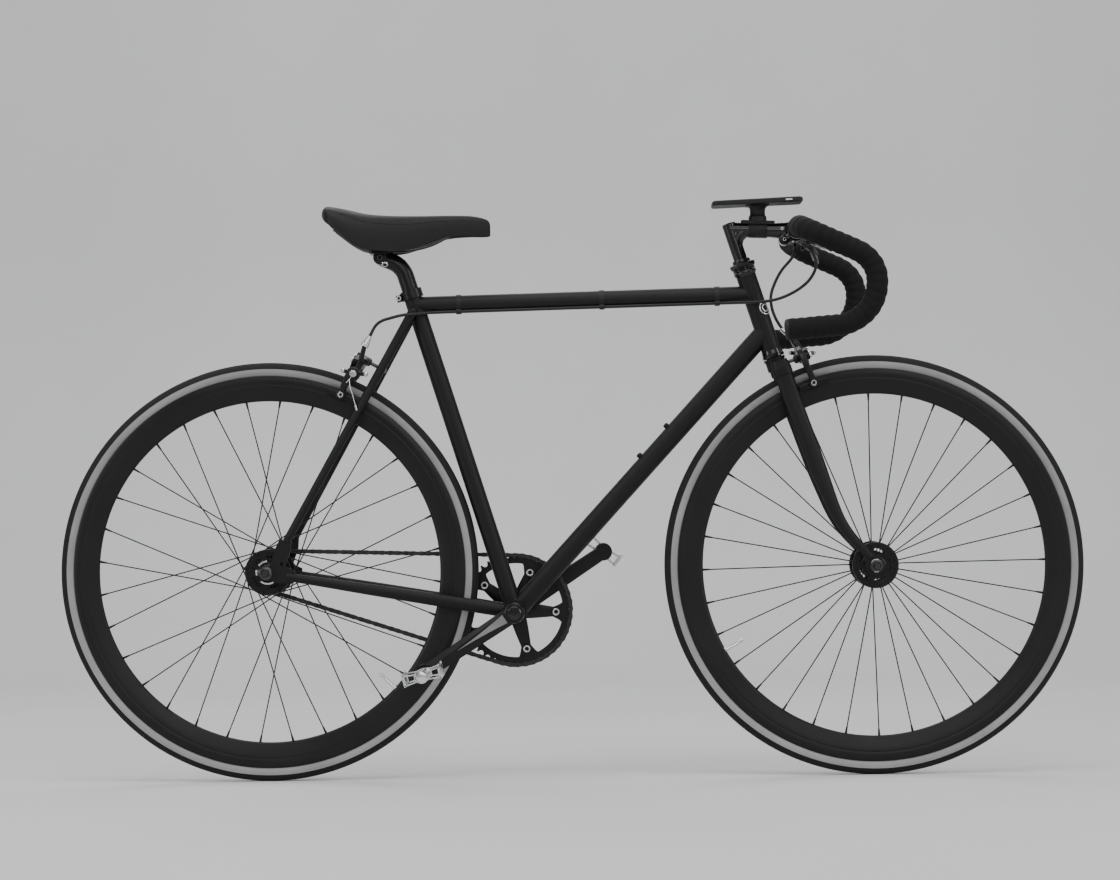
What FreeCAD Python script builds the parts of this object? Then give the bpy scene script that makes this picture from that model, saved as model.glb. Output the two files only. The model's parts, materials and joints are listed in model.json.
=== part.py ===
import FreeCAD, Part
import math
import os

# Single-speed road bicycle. Millimetres. While it is modelled, +X is forward from the rear axle,
# +Y is the rider's left and +Z is up from the ground. Every piece is then moved so that the
# origin is the rider's place on top of the saddle. The chain drive is on the rider's left.

# ---------------------------------------------------------------- driving dimensions

# wheels
tyre_radius = 336.0
tyre_width = 25.0
rim_outer_radius = 314.0
rim_inner_radius = 274.0
rim_width = 20.0
rim_edge_width = 9.0
brake_track_depth = 14.0
spoke_radius = 1.0
front_spoke_count = 32
rear_spoke_count = 32
rear_spoke_crossing_deg = 67.5
front_valve_deg = 209.2
rear_valve_deg = 316.6
flange_radius = 36.0
flange_thickness = 5.0
flange_slots = 5
flange_slot_radius = 18.5
flange_slot_width = 5.0
hub_shell_radius = 13.0
front_flange_spacing = 67.0
rear_flange_spacing = 66.0
axle_radius = 4.5
rear_axle_radius = 5.0
valve_length = 42.0

# frame
wheelbase = 970.0
chain_stay_length = 399.6
bottom_bracket_drop = 68.5
seat_tube_angle = 72.6
seat_tube_length = 542.0
top_tube_at_seat = 517.0
top_tube_rise_deg = 1.1
head_tube_length = 126.0
head_tube_bottom = 378.5
head_tube_radius = 15.9
top_tube_radius = 14.3
down_tube_radius = 15.9
down_tube_at_head = 410.0
seat_tube_wall_at_post = 0.7
tube_wall = 1.6
bottom_bracket_width = 68.0
bottom_bracket_radius = 19.5
chain_stay_height = 21.0
chain_stay_width = 15.0
seat_stay_radius = 7.5
seat_stay_tip_radius = 6.0
rear_spacing = 120.0
front_spacing = 100.0
track_end_thickness = 6.0

# steering
head_angle = 72.0
fork_rake = 45.0
steerer_radius = 12.7
quill_radius = 11.1
stem_reach = 104.0
stem_height = 877.0
bar_height = 873.0
bar_radius = 11.9
bar_sleeve_thickness = 0.8
tape_thickness = 5.1
bar_half_width = 200.0
bar_reach = 113.0
bar_drop = 156.0
bar_ramp_deg = 24.0
bar_level_half = 108.0
bar_top_fall = 9.0
bar_end_length = 72.0
bar_end_fall_deg = 4.5

# drive
crank_length = 170.0
crank_angle = 213.0
chain_line = 45.0
chain_pitch = 12.7
chainring_teeth = 44
sprocket_teeth = 16
pedal_length = 96.0
pedal_tread = 62.0
pedal_height = 20.0
pedal_offset = 75.0

# seat
seat_post_radius = 13.6
saddle_rise = 120.3
saddle_setback = 15.6

# gaps
bearing_gap = 0.05
seat_gap = 0.1
turning_gap = 0.5

# ---------------------------------------------------------------- derived places


def vector(x, y, z):
    return FreeCAD.Vector(x, y, z)


def heading(degrees):
    """Unit vector in the side view, measured up from +X."""
    angle = math.radians(degrees)
    return vector(math.cos(angle), 0, math.sin(angle))


rear_hub = vector(0, 0, tyre_radius)
front_hub = vector(wheelbase, 0, tyre_radius)
stay_run = math.sqrt(chain_stay_length**2 - bottom_bracket_drop**2)
crank_centre = vector(stay_run, 0, tyre_radius - bottom_bracket_drop)

seat_dir = heading(180 - seat_tube_angle)
seat_tube_top = crank_centre + seat_dir * seat_tube_length
seat_cluster = crank_centre + seat_dir * top_tube_at_seat

steer_up = heading(180 - head_angle)
steer_ahead = heading(90 - head_angle)
steer_base = front_hub - steer_ahead * fork_rake


def on_steer(height, ahead=0.0, side=0.0):
    """Point at a height along the steering axis above the axle's foot, ahead of it and aside."""
    return steer_base + steer_up * height + steer_ahead * ahead + vector(0, side, 0)


head_tube_top = head_tube_bottom + head_tube_length
down_tube_head = on_steer(down_tube_at_head)
stem_corner = on_steer((stem_height - steer_base.z) / steer_up.z)
bar_centre = vector(stem_corner.x + stem_reach, 0, bar_height)
rider = seat_tube_top + vector(-saddle_setback, 0, saddle_rise)
seat_tube_radius = seat_post_radius + seat_tube_wall_at_post
bar_clamp_radius = bar_radius + bar_sleeve_thickness
tape_radius = bar_radius + tape_thickness


def from_rider(ahead, side, height):
    """Point placed from the rider's place on top of the saddle."""
    return rider + vector(ahead, side, height)


def top_tube_meets_head():
    """Where the top tube's axis crosses the steering axis."""
    rise = math.tan(math.radians(top_tube_rise_deg))
    gap = (steer_base.x - seat_cluster.x) * rise - (steer_base.z - seat_cluster.z)
    height = gap / (steer_up.z - steer_up.x * rise)
    return on_steer(height)


top_tube_head = top_tube_meets_head()


def pitch_radius(teeth):
    return chain_pitch / 2 / math.sin(math.pi / teeth)


# ---------------------------------------------------------------- shape helpers


def rod(start, end, radius):
    run = end - start
    return Part.makeCylinder(radius, run.Length, start, run)


def tube(start, end, outer, inner):
    return rod(start, end, outer).cut(rod(start, end, inner))


def taper(start, end, start_radius, end_radius):
    run = end - start
    return Part.makeCone(start_radius, end_radius, run.Length, start, run)


def across(centre, radius, low, high):
    """Cylinder along Y between two sideways places."""
    foot = vector(centre.x, low, centre.z)
    return Part.makeCylinder(radius, high - low, foot, vector(0, 1, 0))


def fuse(shapes):
    whole = shapes[0]
    if len(shapes) > 1:
        whole = shapes[0].multiFuse(shapes[1:])
    return whole.removeSplitter()


def mirrored(shape):
    """The same piece on the other side of the bicycle."""
    return shape.mirror(vector(0, 0, 0), vector(0, 1, 0))


def both_sides(shape):
    return Part.makeCompound([shape, mirrored(shape)])


def arc_path(points, radii=None):
    """Straight runs joined by tangent arcs. Without radii each arc is as large as its runs allow."""
    edges = []
    here = points[0]
    for index in range(1, len(points) - 1):
        before, corner, after = points[index - 1], points[index], points[index + 1]
        back = (before - corner).normalize()
        ahead = (after - corner).normalize()
        half_turn = (math.pi - back.getAngle(ahead)) / 2
        shorter = min(before.distanceToPoint(corner), corner.distanceToPoint(after))
        radius = radii[index - 1] if radii else 0.45 * shorter / math.tan(half_turn)
        cut = radius * math.tan(half_turn)
        middle_dir = (back + ahead).normalize()
        middle = corner + middle_dir * (radius / math.cos(half_turn) - radius)
        start, end = corner + back * cut, corner + ahead * cut
        edges.append(Part.LineSegment(here, start).toShape())
        edges.append(Part.Arc(start, middle, end).toShape())
        here = end
    edges.append(Part.LineSegment(here, points[-1]).toShape())
    return Part.Wire(edges)


def pipe(points, radius, radii=None):
    path = arc_path(points, radii)
    section = Part.Wire(Part.makeCircle(radius, points[0], points[1] - points[0]))
    return path.makePipeShell([section], True, False)


def ellipse_wire(centre, normal, sideways, half_along, half_side):
    """Ellipse square to normal, with half_side measured along the sideways direction."""
    along = normal.cross(sideways).normalize()
    side = along.cross(normal).normalize()
    if half_along >= half_side:
        ellipse = Part.Ellipse(centre + along * half_along, centre + side * half_side, centre)
    else:
        ellipse = Part.Ellipse(centre + side * half_side, centre + along * half_along, centre)
    return Part.Wire(ellipse.toShape())


def plate(points, low, high):
    """Flat plate from an outline of (x, z) points, thick from low to high in Y."""
    corners = [vector(x, low, z) for x, z in points]
    face = Part.Face(Part.makePolygon(corners + corners[:1]))
    return face.extrude(vector(0, high - low, 0))


def turned(profile, centre):
    """Solid of revolution about the wheel axle through centre, from (radius, y) points."""
    corners = [centre + vector(radius, y, 0) for radius, y in profile]
    face = Part.Face(Part.makePolygon(corners + corners[:1]))
    return face.revolve(centre, vector(0, 1, 0), 360)


def disc_ring(centre, outer, inner, low, high):
    return across(centre, outer, low, high).cut(across(centre, inner, low, high))


# ---------------------------------------------------------------- frame tubes

lower_cup_height = 13.0
lower_cup_radius = 18.0
upper_cup_height = 8.0
upper_cup_radius = 18.5
upper_cup_top = head_tube_top + upper_cup_height
crown_top = head_tube_bottom - lower_cup_height - turning_gap
crank_axle_radius = 8.5


def make_head_tube():
    bottom, top = on_steer(head_tube_bottom), on_steer(head_tube_top)
    return tube(bottom, top, head_tube_radius, head_tube_radius - tube_wall)


def make_headset_cups():
    """Lower and upper bearing cups, pressed against the head tube's ends."""
    bore = steerer_radius + bearing_gap
    lower = tube(on_steer(crown_top + turning_gap), on_steer(head_tube_bottom), lower_cup_radius, bore)
    upper = tube(on_steer(head_tube_top), on_steer(upper_cup_top), upper_cup_radius, bore)
    return Part.makeCompound([lower, upper])


def head_blank():
    return rod(on_steer(head_tube_bottom), on_steer(head_tube_top), head_tube_radius)


def seat_blank():
    return rod(crank_centre, seat_tube_top, seat_tube_radius)


def shell_blank():
    half = bottom_bracket_width / 2
    return across(crank_centre, bottom_bracket_radius, -half, half)


def make_top_tube():
    body = tube(seat_cluster, top_tube_head, top_tube_radius, top_tube_radius - tube_wall)
    return body.cut(head_blank()).cut(seat_blank())


def top_tube_solid():
    return rod(seat_cluster, top_tube_head, top_tube_radius)


boss_places = [320.0, 384.0]
boss_radius = 4.5
boss_bore = 2.5
boss_height = 3.0


def down_dir():
    return (down_tube_head - crank_centre).normalize()


def down_up():
    """Square to the down tube, towards the top tube."""
    along = down_dir()
    return vector(-along.z, 0, along.x)


def make_down_tube():
    """Down tube with two threaded bottle-cage bosses on its upper side."""
    body = tube(crank_centre, down_tube_head, down_tube_radius, down_tube_radius - tube_wall)
    body = body.cut(head_blank()).cut(shell_blank()).cut(seat_blank())
    for place in boss_places:
        foot = crank_centre + down_dir() * place
        low = foot + down_up() * (down_tube_radius - 6)
        high = foot + down_up() * (down_tube_radius + boss_height)
        body = body.fuse(rod(low, high, boss_radius)).cut(rod(low, high, boss_bore))
    return body.cut(top_tube_solid())


def make_seat_tube():
    inner = seat_post_radius + bearing_gap
    body = tube(crank_centre, seat_tube_top, seat_tube_radius, inner)
    return body.cut(shell_blank())


def make_bottom_bracket():
    """Shell with the two cups, bored for the crank axle."""
    half = bottom_bracket_width / 2
    lip = 4.0
    shell = across(crank_centre, bottom_bracket_radius, -half, half)
    cups = across(crank_centre, bottom_bracket_radius - 2, -half - lip, half + lip)
    return shell.fuse(cups).cut(across(crank_centre, crank_axle_radius + bearing_gap, -60, 60))


# ---------------------------------------------------------------- rear triangle

stay_end_x = 32.0
stay_end_z = 330.0
stay_waist_x = 300.0
stay_waist_side = 28.0
stay_start_side = 23.0
track_end_mid = rear_spacing / 2 + track_end_thickness / 2
seat_stay_end = vector(33.0, 0, 386.0)
seat_stay_top_drop = 22.0
seat_stay_top_side = 17.5


def chain_stay_axis():
    start = crank_centre + vector(-6, stay_start_side, 0.5)
    slope = (stay_end_z - crank_centre.z) / (stay_end_x - crank_centre.x)
    waist = vector(stay_waist_x, stay_waist_side, crank_centre.z + slope * (stay_waist_x - crank_centre.x))
    end = vector(stay_end_x, track_end_mid, stay_end_z)
    return [start, waist, end]


def make_chain_stay():
    """Left chain stay, oval by the tyre and chainring and round at the track end."""
    start, waist, end = chain_stay_axis()
    side = vector(0, 1, 0)
    run = (end - start).normalize()
    sections = [
        ellipse_wire(start, run, side, chain_stay_height / 2, chain_stay_width / 2),
        ellipse_wire(waist, run, side, chain_stay_height / 2, chain_stay_width / 2),
        ellipse_wire((waist + end) * 0.5, run, side, 9.0, 7.5),
        ellipse_wire(end, run, side, 6.5, 6.0),
    ]
    stay = Part.makeLoft(sections, True, True)
    return stay.cut(shell_blank()).cut(track_end_blank())


def seat_stay_axis():
    top = crank_centre + seat_dir * (top_tube_at_seat - seat_stay_top_drop + 12) + vector(-6, 0, 0)
    return [
        vector(top.x, seat_stay_top_side, top.z),
        vector(seat_stay_end.x, track_end_mid, seat_stay_end.z),
    ]


def make_seat_stay():
    """Left seat stay, tapering down to the track end and capped beside the seat tube."""
    top, end = seat_stay_axis()
    stay = taper(top, end, seat_stay_radius, seat_stay_tip_radius)
    cap = Part.makeSphere(seat_stay_radius, top)
    whole = stay.fuse(cap)
    return whole.cut(seat_blank()).cut(track_end_blank())


def track_end_outline():
    """Side outline of the plate, as (x, z) beside the axle centre."""
    return [
        (-11, -10), (-11, 10), (6, 11), (10, 20), (15, 38), (22, 52), (41, 52),
        (40, 36), (31, 10), (46, 3), (44, -17), (16, -16), (6, -11),
    ]


def track_end_blank():
    points = [(rear_hub.x + x, rear_hub.z + z) for x, z in track_end_outline()]
    low = rear_spacing / 2
    return plate(points, low, low + track_end_thickness)


def make_track_end():
    """Left track end: a plate with a slot open to the rear for the axle, and an eyelet."""
    low = rear_spacing / 2 - 1
    high = low + track_end_thickness + 2
    slot_end = rear_hub + vector(4, 0, 0)
    half = rear_axle_radius + seat_gap
    slot = across(slot_end, half, low, high)
    box = Part.makeBox(40, high - low, 2 * half, vector(slot_end.x - 40, low, slot_end.z - half))
    eyelet = across(rear_hub + vector(25, 0, 14), 2.6, low, high)
    return track_end_blank().cut(slot).cut(box).cut(eyelet)


def stay_line_point(height):
    """Left seat stay's axis at a height above the ground."""
    top, end = seat_stay_axis()
    share = (top.z - height) / (top.z - end.z)
    return top + (end - top) * share


rear_bridge_height = 659.0
bridge_radius = 6.0


def make_seat_stay_bridge():
    place = stay_line_point(rear_bridge_height)
    left = vector(place.x, place.y, place.z)
    bar = rod(vector(left.x, -left.y, left.z), left, bridge_radius)
    top, end = seat_stay_axis()
    blank = taper(top, end, seat_stay_radius, seat_stay_tip_radius)
    return bar.cut(blank).cut(mirrored(blank))


def make_seat_collar():
    """Clamp band round the top of the seat tube, with two ears and a bolt at the back."""
    low = seat_tube_top - seat_dir * 13
    high = seat_tube_top + seat_dir * 1
    inner = seat_tube_radius + seat_gap
    band = tube(low, high, seat_tube_radius + 3.5, inner)
    mid = (low + high) * 0.5
    back = heading(270 - seat_tube_angle)
    ears = rod(mid, mid + back * (seat_tube_radius + 11), 6).cut(rod(low, high, inner))
    gap = Part.makeBox(60, 2, 60, vector(mid.x - 60, -1, mid.z - 20))
    bolt_at = mid + back * (seat_tube_radius + 7)
    bolt = across(bolt_at, 3.0, -10, 10)
    return band.fuse(ears).cut(gap).fuse(bolt)


# ---------------------------------------------------------------- seat post and saddle

clamp_place = from_rider(-32, 0, -67)
post_straight_top = 42.0
post_insert = 90.0
rail_radius = 3.5
rail_side = 22.0
rail_drop = -54.0


def make_seat_post():
    """Post with a swept-back head that carries the rail cradle."""
    foot = seat_tube_top - seat_dir * post_insert
    bend = seat_tube_top + seat_dir * post_straight_top
    head = clamp_place + vector(4, 0, 0)
    column = pipe([foot, bend, head], seat_post_radius, [38.0])
    cradle = across(clamp_place, 11, -17, 17)
    return column.fuse(cradle)


def rail_points(side):
    return [
        from_rider(-104, side * 34, -21),
        from_rider(-76, side * 26, -43),
        from_rider(-56, side * rail_side, rail_drop),
        from_rider(6, side * rail_side, rail_drop),
        from_rider(46, side * 20, -47),
        from_rider(84, side * 11, -28),
    ]


def make_saddle_rails():
    left = pipe(rail_points(1), rail_radius)
    return both_sides(left)


def make_saddle_clamp():
    """Upper and lower plates that grip the rails, with their bolt."""
    top = Part.makeBox(38, 56, 6, from_rider(-51, -28, rail_drop))
    bottom = Part.makeBox(34, 56, 7, from_rider(-49, -28, rail_drop - 7))
    bolts = Part.makeCylinder(3.5, 30, clamp_place + vector(14, 0, -12), vector(0, 0, 1))
    body = fuse([top, bottom, bolts])
    rails = make_saddle_rails()
    cradle = across(clamp_place, 11 + seat_gap, -18, 18)
    ends = [from_rider(ahead, rail_side, rail_drop) for ahead in (-116, 44)]
    wide = rod(ends[0], ends[1], rail_radius + seat_gap)
    body = body.cut(wide).cut(mirrored(wide)).cut(rails).cut(cradle).cut(make_seat_post())
    return body


# along the saddle, from the rider's place: ahead, half width, top, skirt
saddle_sections = [
    (-123.0, 34.0, 10.0, -2.0),
    (-117.0, 55.0, 15.5, -8.0),
    (-104.0, 65.0, 14.5, -16.0),
    (-81.0, 67.0, 10.0, -31.0),
    (-54.0, 62.0, 3.8, -48.0),
    (-26.0, 51.0, 1.0, -55.0),
    (0.0, 40.0, 0.0, -56.5),
    (27.0, 31.0, -0.2, -50.0),
    (56.0, 25.0, -0.2, -39.0),
    (84.0, 21.5, -0.2, -34.5),
    (112.0, 19.0, -1.0, -34.0),
    (132.0, 16.0, -5.0, -34.5),
    (144.0, 11.0, -14.0, -34.0),
]
saddle_skin = 6.0
saddle_pad = 17.0


def saddle_wire(ahead, half, top, skirt):
    """Cross-section: a crowned top, rounded shoulders and sides that fall to the skirt."""
    depth = top - skirt
    right = [(0.90, 1.0), (1.0, 0.45), (0.86, 0.14), (0.45, 0.02)]
    points = [from_rider(ahead, -half * share, top - depth * fall) for share, fall in right]
    points.append(from_rider(ahead, 0, top))
    points += [from_rider(ahead, half * share, top - depth * fall) for share, fall in reversed(right)]
    curve = Part.BSplineCurve()
    curve.interpolate(points)
    foot = Part.LineSegment(points[-1], points[0])
    return Part.Wire([curve.toShape(), foot.toShape()])


def make_saddle():
    """Padded shell, open underneath between its skirts."""
    outer = Part.makeLoft([saddle_wire(*section) for section in saddle_sections], True, False)
    hollow_sections = []
    for ahead, half, top, skirt in saddle_sections[2:-1]:
        hollow_sections.append(saddle_wire(ahead, half - saddle_skin, top - saddle_pad, skirt - 20))
    hollow = Part.makeLoft(hollow_sections, True, False)
    return outer.cut(hollow)


# ---------------------------------------------------------------- fork and front end

crown_bottom = 345.0
race_height = 4.0
steerer_top = upper_cup_top + 12.0
quill_foot = 440.0
quill_top = (stem_height - steer_base.z) / steer_up.z + 10.0
extension_radius = 11.2
socket_length = 26.0
brake_hole_height = 352.0
blade_top_side = 30.0
blade_tip_side = front_spacing / 2 + 2.5
fork_tip_thickness = 5.0


def make_fork_crown():
    """Crown with its bearing race, blade sockets and the hollow steerer through the head tube."""
    race_foot = crown_top - race_height
    race = rod(on_steer(race_foot), on_steer(crown_top), lower_cup_radius - 0.5)
    block = rod(on_steer(crown_bottom), on_steer(race_foot), 16.0)
    bridge_mid = (crown_bottom + race_foot) / 2
    bridge = rod(on_steer(bridge_mid, 4, -blade_top_side), on_steer(bridge_mid, 4, blade_top_side),
                 (race_foot - crown_bottom) / 2)
    bore_radius = quill_radius + seat_gap
    bore = rod(on_steer(crown_bottom - 5), on_steer(crown_top + 5), bore_radius)
    bolt_hole = rod(on_steer(brake_hole_height, -40), on_steer(brake_hole_height, 40), 3.0 + seat_gap)
    crown = block.fuse(bridge).cut(bore).cut(bolt_hole).fuse(race.cut(bore))
    crown = crown.fuse(tube(on_steer(race_foot), on_steer(steerer_top), steerer_radius, bore_radius))
    for side in (-1, 1):
        sections = []
        for height, half_along, half_side in (
            (race_foot - 2, 12.5, 8.5), (crown_bottom, 16.0, 10.8), (race_foot - socket_length, 15.8, 10.6),
        ):
            centre = on_steer(height, 4.2, side * blade_top_side)
            sections.append(ellipse_wire(centre, steer_up, vector(0, 1, 0), half_along, half_side))
        crown = crown.fuse(Part.makeLoft(sections, True, True))
    return crown


# down the fork blade: height on the steering axis, distance ahead of it, half sizes
blade_sections = [
    (crown_top - race_height - socket_length - seat_gap, 4.2, 14.3, 9.0),
    (310.0, 4.3, 14.4, 9.0),
    (261.0, 5.1, 14.3, 8.8),
    (213.0, 6.5, 14.0, 8.5),
    (168.0, 7.9, 13.0, 8.1),
    (131.0, 9.4, 11.2, 7.6),
    (100.0, 11.6, 9.7, 7.1),
    (78.0, 15.4, 8.6, 6.6),
    (57.0, 22.0, 7.6, 6.1),
    (35.0, 31.5, 6.9, 5.6),
    (15.0, 40.3, 6.2, 5.1),
]


def blade_side(height):
    share = (blade_sections[0][0] - height) / (blade_sections[0][0] - blade_sections[-1][0])
    return blade_top_side + (blade_tip_side - blade_top_side) * share


def make_blade_body():
    """Left fork blade: an oval taper that sweeps forward to the axle."""
    centres = [on_steer(height, ahead, blade_side(height)) for height, ahead, _, _ in blade_sections]
    wires = []
    for index, (_, _, half_along, half_side) in enumerate(blade_sections):
        after = centres[min(index + 1, len(centres) - 1)]
        run = (after - centres[index - 1]).normalize() if index else steer_up * -1
        wires.append(ellipse_wire(centres[index], run, vector(0, 1, 0), half_along, half_side))
    return Part.makeLoft(wires, True, False)


def fork_tip():
    """Left fork end: a plate round the axle with a slot open downwards."""
    low = front_spacing / 2
    high = low + fork_tip_thickness
    disc = across(front_hub, 13, low, high)
    neck_top = on_steer(20, 36)
    neck = plate(
        [(front_hub.x - 9, front_hub.z - 8), (front_hub.x + 9, front_hub.z + 9),
         (neck_top.x + 7, neck_top.z + 8), (neck_top.x - 7, neck_top.z - 6)],
        low, high,
    )
    half = axle_radius + seat_gap
    slot = across(front_hub, half, low - 1, high + 1)
    box = Part.makeBox(2 * half, high - low + 2, 30, vector(front_hub.x - half, low - 1, front_hub.z - 30))
    return disc.fuse(neck).cut(slot).cut(box)


def make_fork_blade():
    blade = make_blade_body()
    half = axle_radius + seat_gap
    clear = across(front_hub, 15, 0, 90)
    spare = across(front_hub, half, 0, 90)
    return blade.cut(clear).fuse(fork_tip()).cut(spare)


def make_headset_nut():
    """Washer, locknut and collar at the top of the steerer."""
    bore = steerer_radius + seat_gap
    foot = upper_cup_top + turning_gap
    washer = tube(on_steer(foot), on_steer(foot + 4), 18.0, bore)
    nut = tube(on_steer(foot + 4), on_steer(foot + 13), 19.5, bore)
    collar = tube(on_steer(foot + 13), on_steer(foot + 19), 13.8, quill_radius + seat_gap)
    steerer = rod(on_steer(foot), on_steer(steerer_top), steerer_radius + seat_gap)
    return fuse([washer, nut, collar]).cut(steerer)


def make_stem():
    """Quill stem: a quill in the steerer, a level extension, and a bar clamp with its bolt."""
    quill = rod(on_steer(quill_foot), on_steer(quill_top), quill_radius)
    extension = rod(stem_corner, bar_centre, extension_radius)
    barrel = across(bar_centre, 17.5, -19, 19)
    lug_at = bar_centre + vector(-18, 0, -14)
    lug = across(lug_at, 9, -14, 14)
    web = plate(
        [(bar_centre.x - 17, bar_centre.z + 4), (bar_centre.x, bar_centre.z - 17),
         (lug_at.x + 4, lug_at.z - 8.5), (lug_at.x - 10, lug_at.z + 3)],
        -14, 14,
    )
    bore = across(bar_centre, bar_clamp_radius + seat_gap, -25, 25)
    slit = Part.makeBox(34, 2, 3, vector(lug_at.x - 4, -1, lug_at.z - 20))
    bolt = across(lug_at, 3.9, -17, 17)
    return fuse([quill, extension, barrel, lug, web]).cut(bore).cut(slit).fuse(bolt)


bar_radii = [120.0, 40.0, 52.0, 66.0]


def bar_points(side, start=0.0):
    """One half of the drop bar: level beside the stem, falling tops, ramp, hook and bar end."""
    wide = side * bar_half_width
    front = bar_centre.x + bar_reach
    corner = vector(bar_centre.x, wide, bar_centre.z - bar_top_fall)
    ramp_end = vector(front, wide, corner.z - bar_reach * math.tan(math.radians(bar_ramp_deg)))
    hook_end = vector(front, wide, bar_centre.z - bar_drop)
    back = bar_radii[-1] + bar_end_length
    tail = hook_end - vector(back, 0, back * math.tan(math.radians(bar_end_fall_deg)))
    level = bar_centre + vector(0, side * bar_level_half, 0)
    return [bar_centre + vector(0, side * start, 0), level, corner, ramp_end, hook_end, tail]


def make_handlebar():
    """Drop bar, thicker where the stem clamps it."""
    left = pipe(bar_points(1), bar_radius, bar_radii)
    sleeve = across(bar_centre, bar_clamp_radius, -32, 32)
    return fuse([left, mirrored(left), sleeve])


tape_start = 92.0


def make_bar_tape():
    """Tape wound on one side of the bar, from beside the brake lever to the bar end."""
    points = bar_points(1, tape_start)
    outer = pipe(points, tape_radius, bar_radii)
    inner = pipe(points, bar_radius + seat_gap, bar_radii)
    return outer.cut(inner)


def make_bar_plugs():
    corner, end = bar_points(1)[-2:]
    run = (end - corner).normalize()
    plug = rod(end + run * seat_gap, end + run * 6, tape_radius - 1)
    return both_sides(plug)


lever_side = 62.0
lever_tilt = -40.0


def make_brake_lever():
    """Left auxiliary lever: a clamp round the bar top and a blade in front of it."""
    clamp = across(bar_centre, 16.5, lever_side - 8, lever_side + 8)
    out = heading(lever_tilt)
    across_blade = heading(lever_tilt + 90)
    outline = [
        (lever_side - 14, 12), (lever_side - 16, 30), (lever_side - 6, 44), (lever_side + 40, 52),
        (lever_side + 88, 60), (lever_side + 90, 52), (lever_side + 42, 42), (lever_side + 12, 34),
        (lever_side + 8, 12),
    ]
    corners = [
        bar_centre + out * reach + vector(0, side, 0) - across_blade * 5 for side, reach in outline
    ]
    blade = Part.Face(Part.makePolygon(corners + corners[:1])).extrude(across_blade * 10)
    bore = across(bar_centre, bar_radius + seat_gap, lever_side - 20, lever_side + 20)
    return clamp.fuse(blade).cut(bore)


# ---------------------------------------------------------------- brakes

pad_gap = 2.0
pad_radius = rim_outer_radius - brake_track_depth / 2
caliper_ahead = 45.0
caliper_behind = 37.0
arch_thickness = 14.0


class Caliper:
    """Directions and reach of a caliper about its centre bolt."""

    def __init__(self, bolt_at, up, back, wheel_centre):
        self.bolt_at, self.up, self.back, self.wheel_centre = bolt_at, up, back, wheel_centre
        lever = bolt_at - wheel_centre
        along = lever.dot(up)
        self.drop = along - math.sqrt(pad_radius**2 - lever.Length**2 + along**2)
        self.under = lever.Length - tyre_radius - 6.0

    def place(self, side, height, depth=0.0):
        return self.bolt_at + self.up * height + self.back * depth + vector(0, side, 0)


def make_caliper(caliper, bolt_length):
    """Dual-pivot caliper: an arch over the tyre that reaches to the pads, and its centre bolt."""
    place, low, under = caliper.place, -caliper.drop - 4, caliper.under
    arch = [
        (-34, low), (-36, -12), (-30, 10), (-14, 19), (14, 19), (30, 10), (36, -12), (34, low),
        (25, low), (25, -under - 9), (18, -under), (-18, -under), (-25, -under - 9), (-25, low),
    ]
    corners = [place(side, height, -arch_thickness / 2) for side, height in arch]
    body = Part.Face(Part.makePolygon(corners + corners[:1]))
    body = body.extrude(caliper.back * arch_thickness)
    arm = rod(place(26, 2), place(33, 36), 5.5)
    bolt = rod(place(0, 0, -arch_thickness), place(0, 0, bolt_length), 3.0)
    return fuse([body, arm, bolt])


def make_pads(caliper):
    """Pair of brake pads beside the rim, with their studs reaching to the arms."""
    inner = rim_width / 2 + pad_gap
    outer = 25.0
    middle = caliper.place(0, -caliper.drop)
    radial = (middle - caliper.wheel_centre).normalize()
    along = vector(radial.z, 0, -radial.x)
    corner = middle - along * 26 - radial * 5
    outline = [corner, corner + along * 52, corner + along * 52 + radial * 10, corner + radial * 10]
    pad = Part.Face(Part.makePolygon(outline + outline[:1])).extrude(vector(0, 9, 0))
    pad.translate(vector(0, inner, 0))
    stud = across(middle, 4.0, inner + 9, outer)
    return both_sides(pad.fuse(stud))


stay_dir = seat_stay_axis()[0] - seat_stay_axis()[1]
stay_up = vector(stay_dir.x, 0, stay_dir.z).normalize()
stay_back = vector(-stay_up.z, 0, stay_up.x)
bridge_centre = vector(stay_line_point(rear_bridge_height).x, 0, rear_bridge_height)
front_caliper = Caliper(
    on_steer(brake_hole_height, caliper_ahead), steer_up, steer_ahead * -1, front_hub
)
rear_caliper = Caliper(bridge_centre + stay_back * caliper_behind, stay_up, stay_back * -1, rear_hub)


def make_front_brake():
    return make_caliper(front_caliper, caliper_ahead + 14)


def make_rear_brake():
    brake = make_caliper(rear_caliper, caliper_behind)
    left, right = bridge_centre + vector(0, 60, 0), bridge_centre - vector(0, 60, 0)
    return brake.cut(rod(right, left, bridge_radius))


# ---------------------------------------------------------------- cables

cable_radius = 2.5


def front_cable_points():
    anchor = front_caliper.place(33, 36)
    return [
        bar_centre + vector(4, 70, -20),
        bar_centre + vector(-6, 62, -58),
        bar_centre + vector(-34, 44, -92),
        bar_centre + vector(-38, 34, -120),
        anchor + steer_up * 18,
        anchor + steer_up * 1,
    ]


def make_front_cable():
    return pipe(front_cable_points(), cable_radius)


top_dir = (top_tube_head - seat_cluster).normalize()
cable_side = -top_tube_radius * 0.72 - cable_radius * 0.72
cable_drop = -top_tube_radius * 0.72 - cable_radius * 0.72
clip_places = [70.0, 300.0, 485.0]


def beside_top_tube(place):
    """Point on the rear cable's line, low on the right side of the top tube."""
    return seat_cluster + top_dir * place + vector(0, cable_side, cable_drop)


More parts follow.
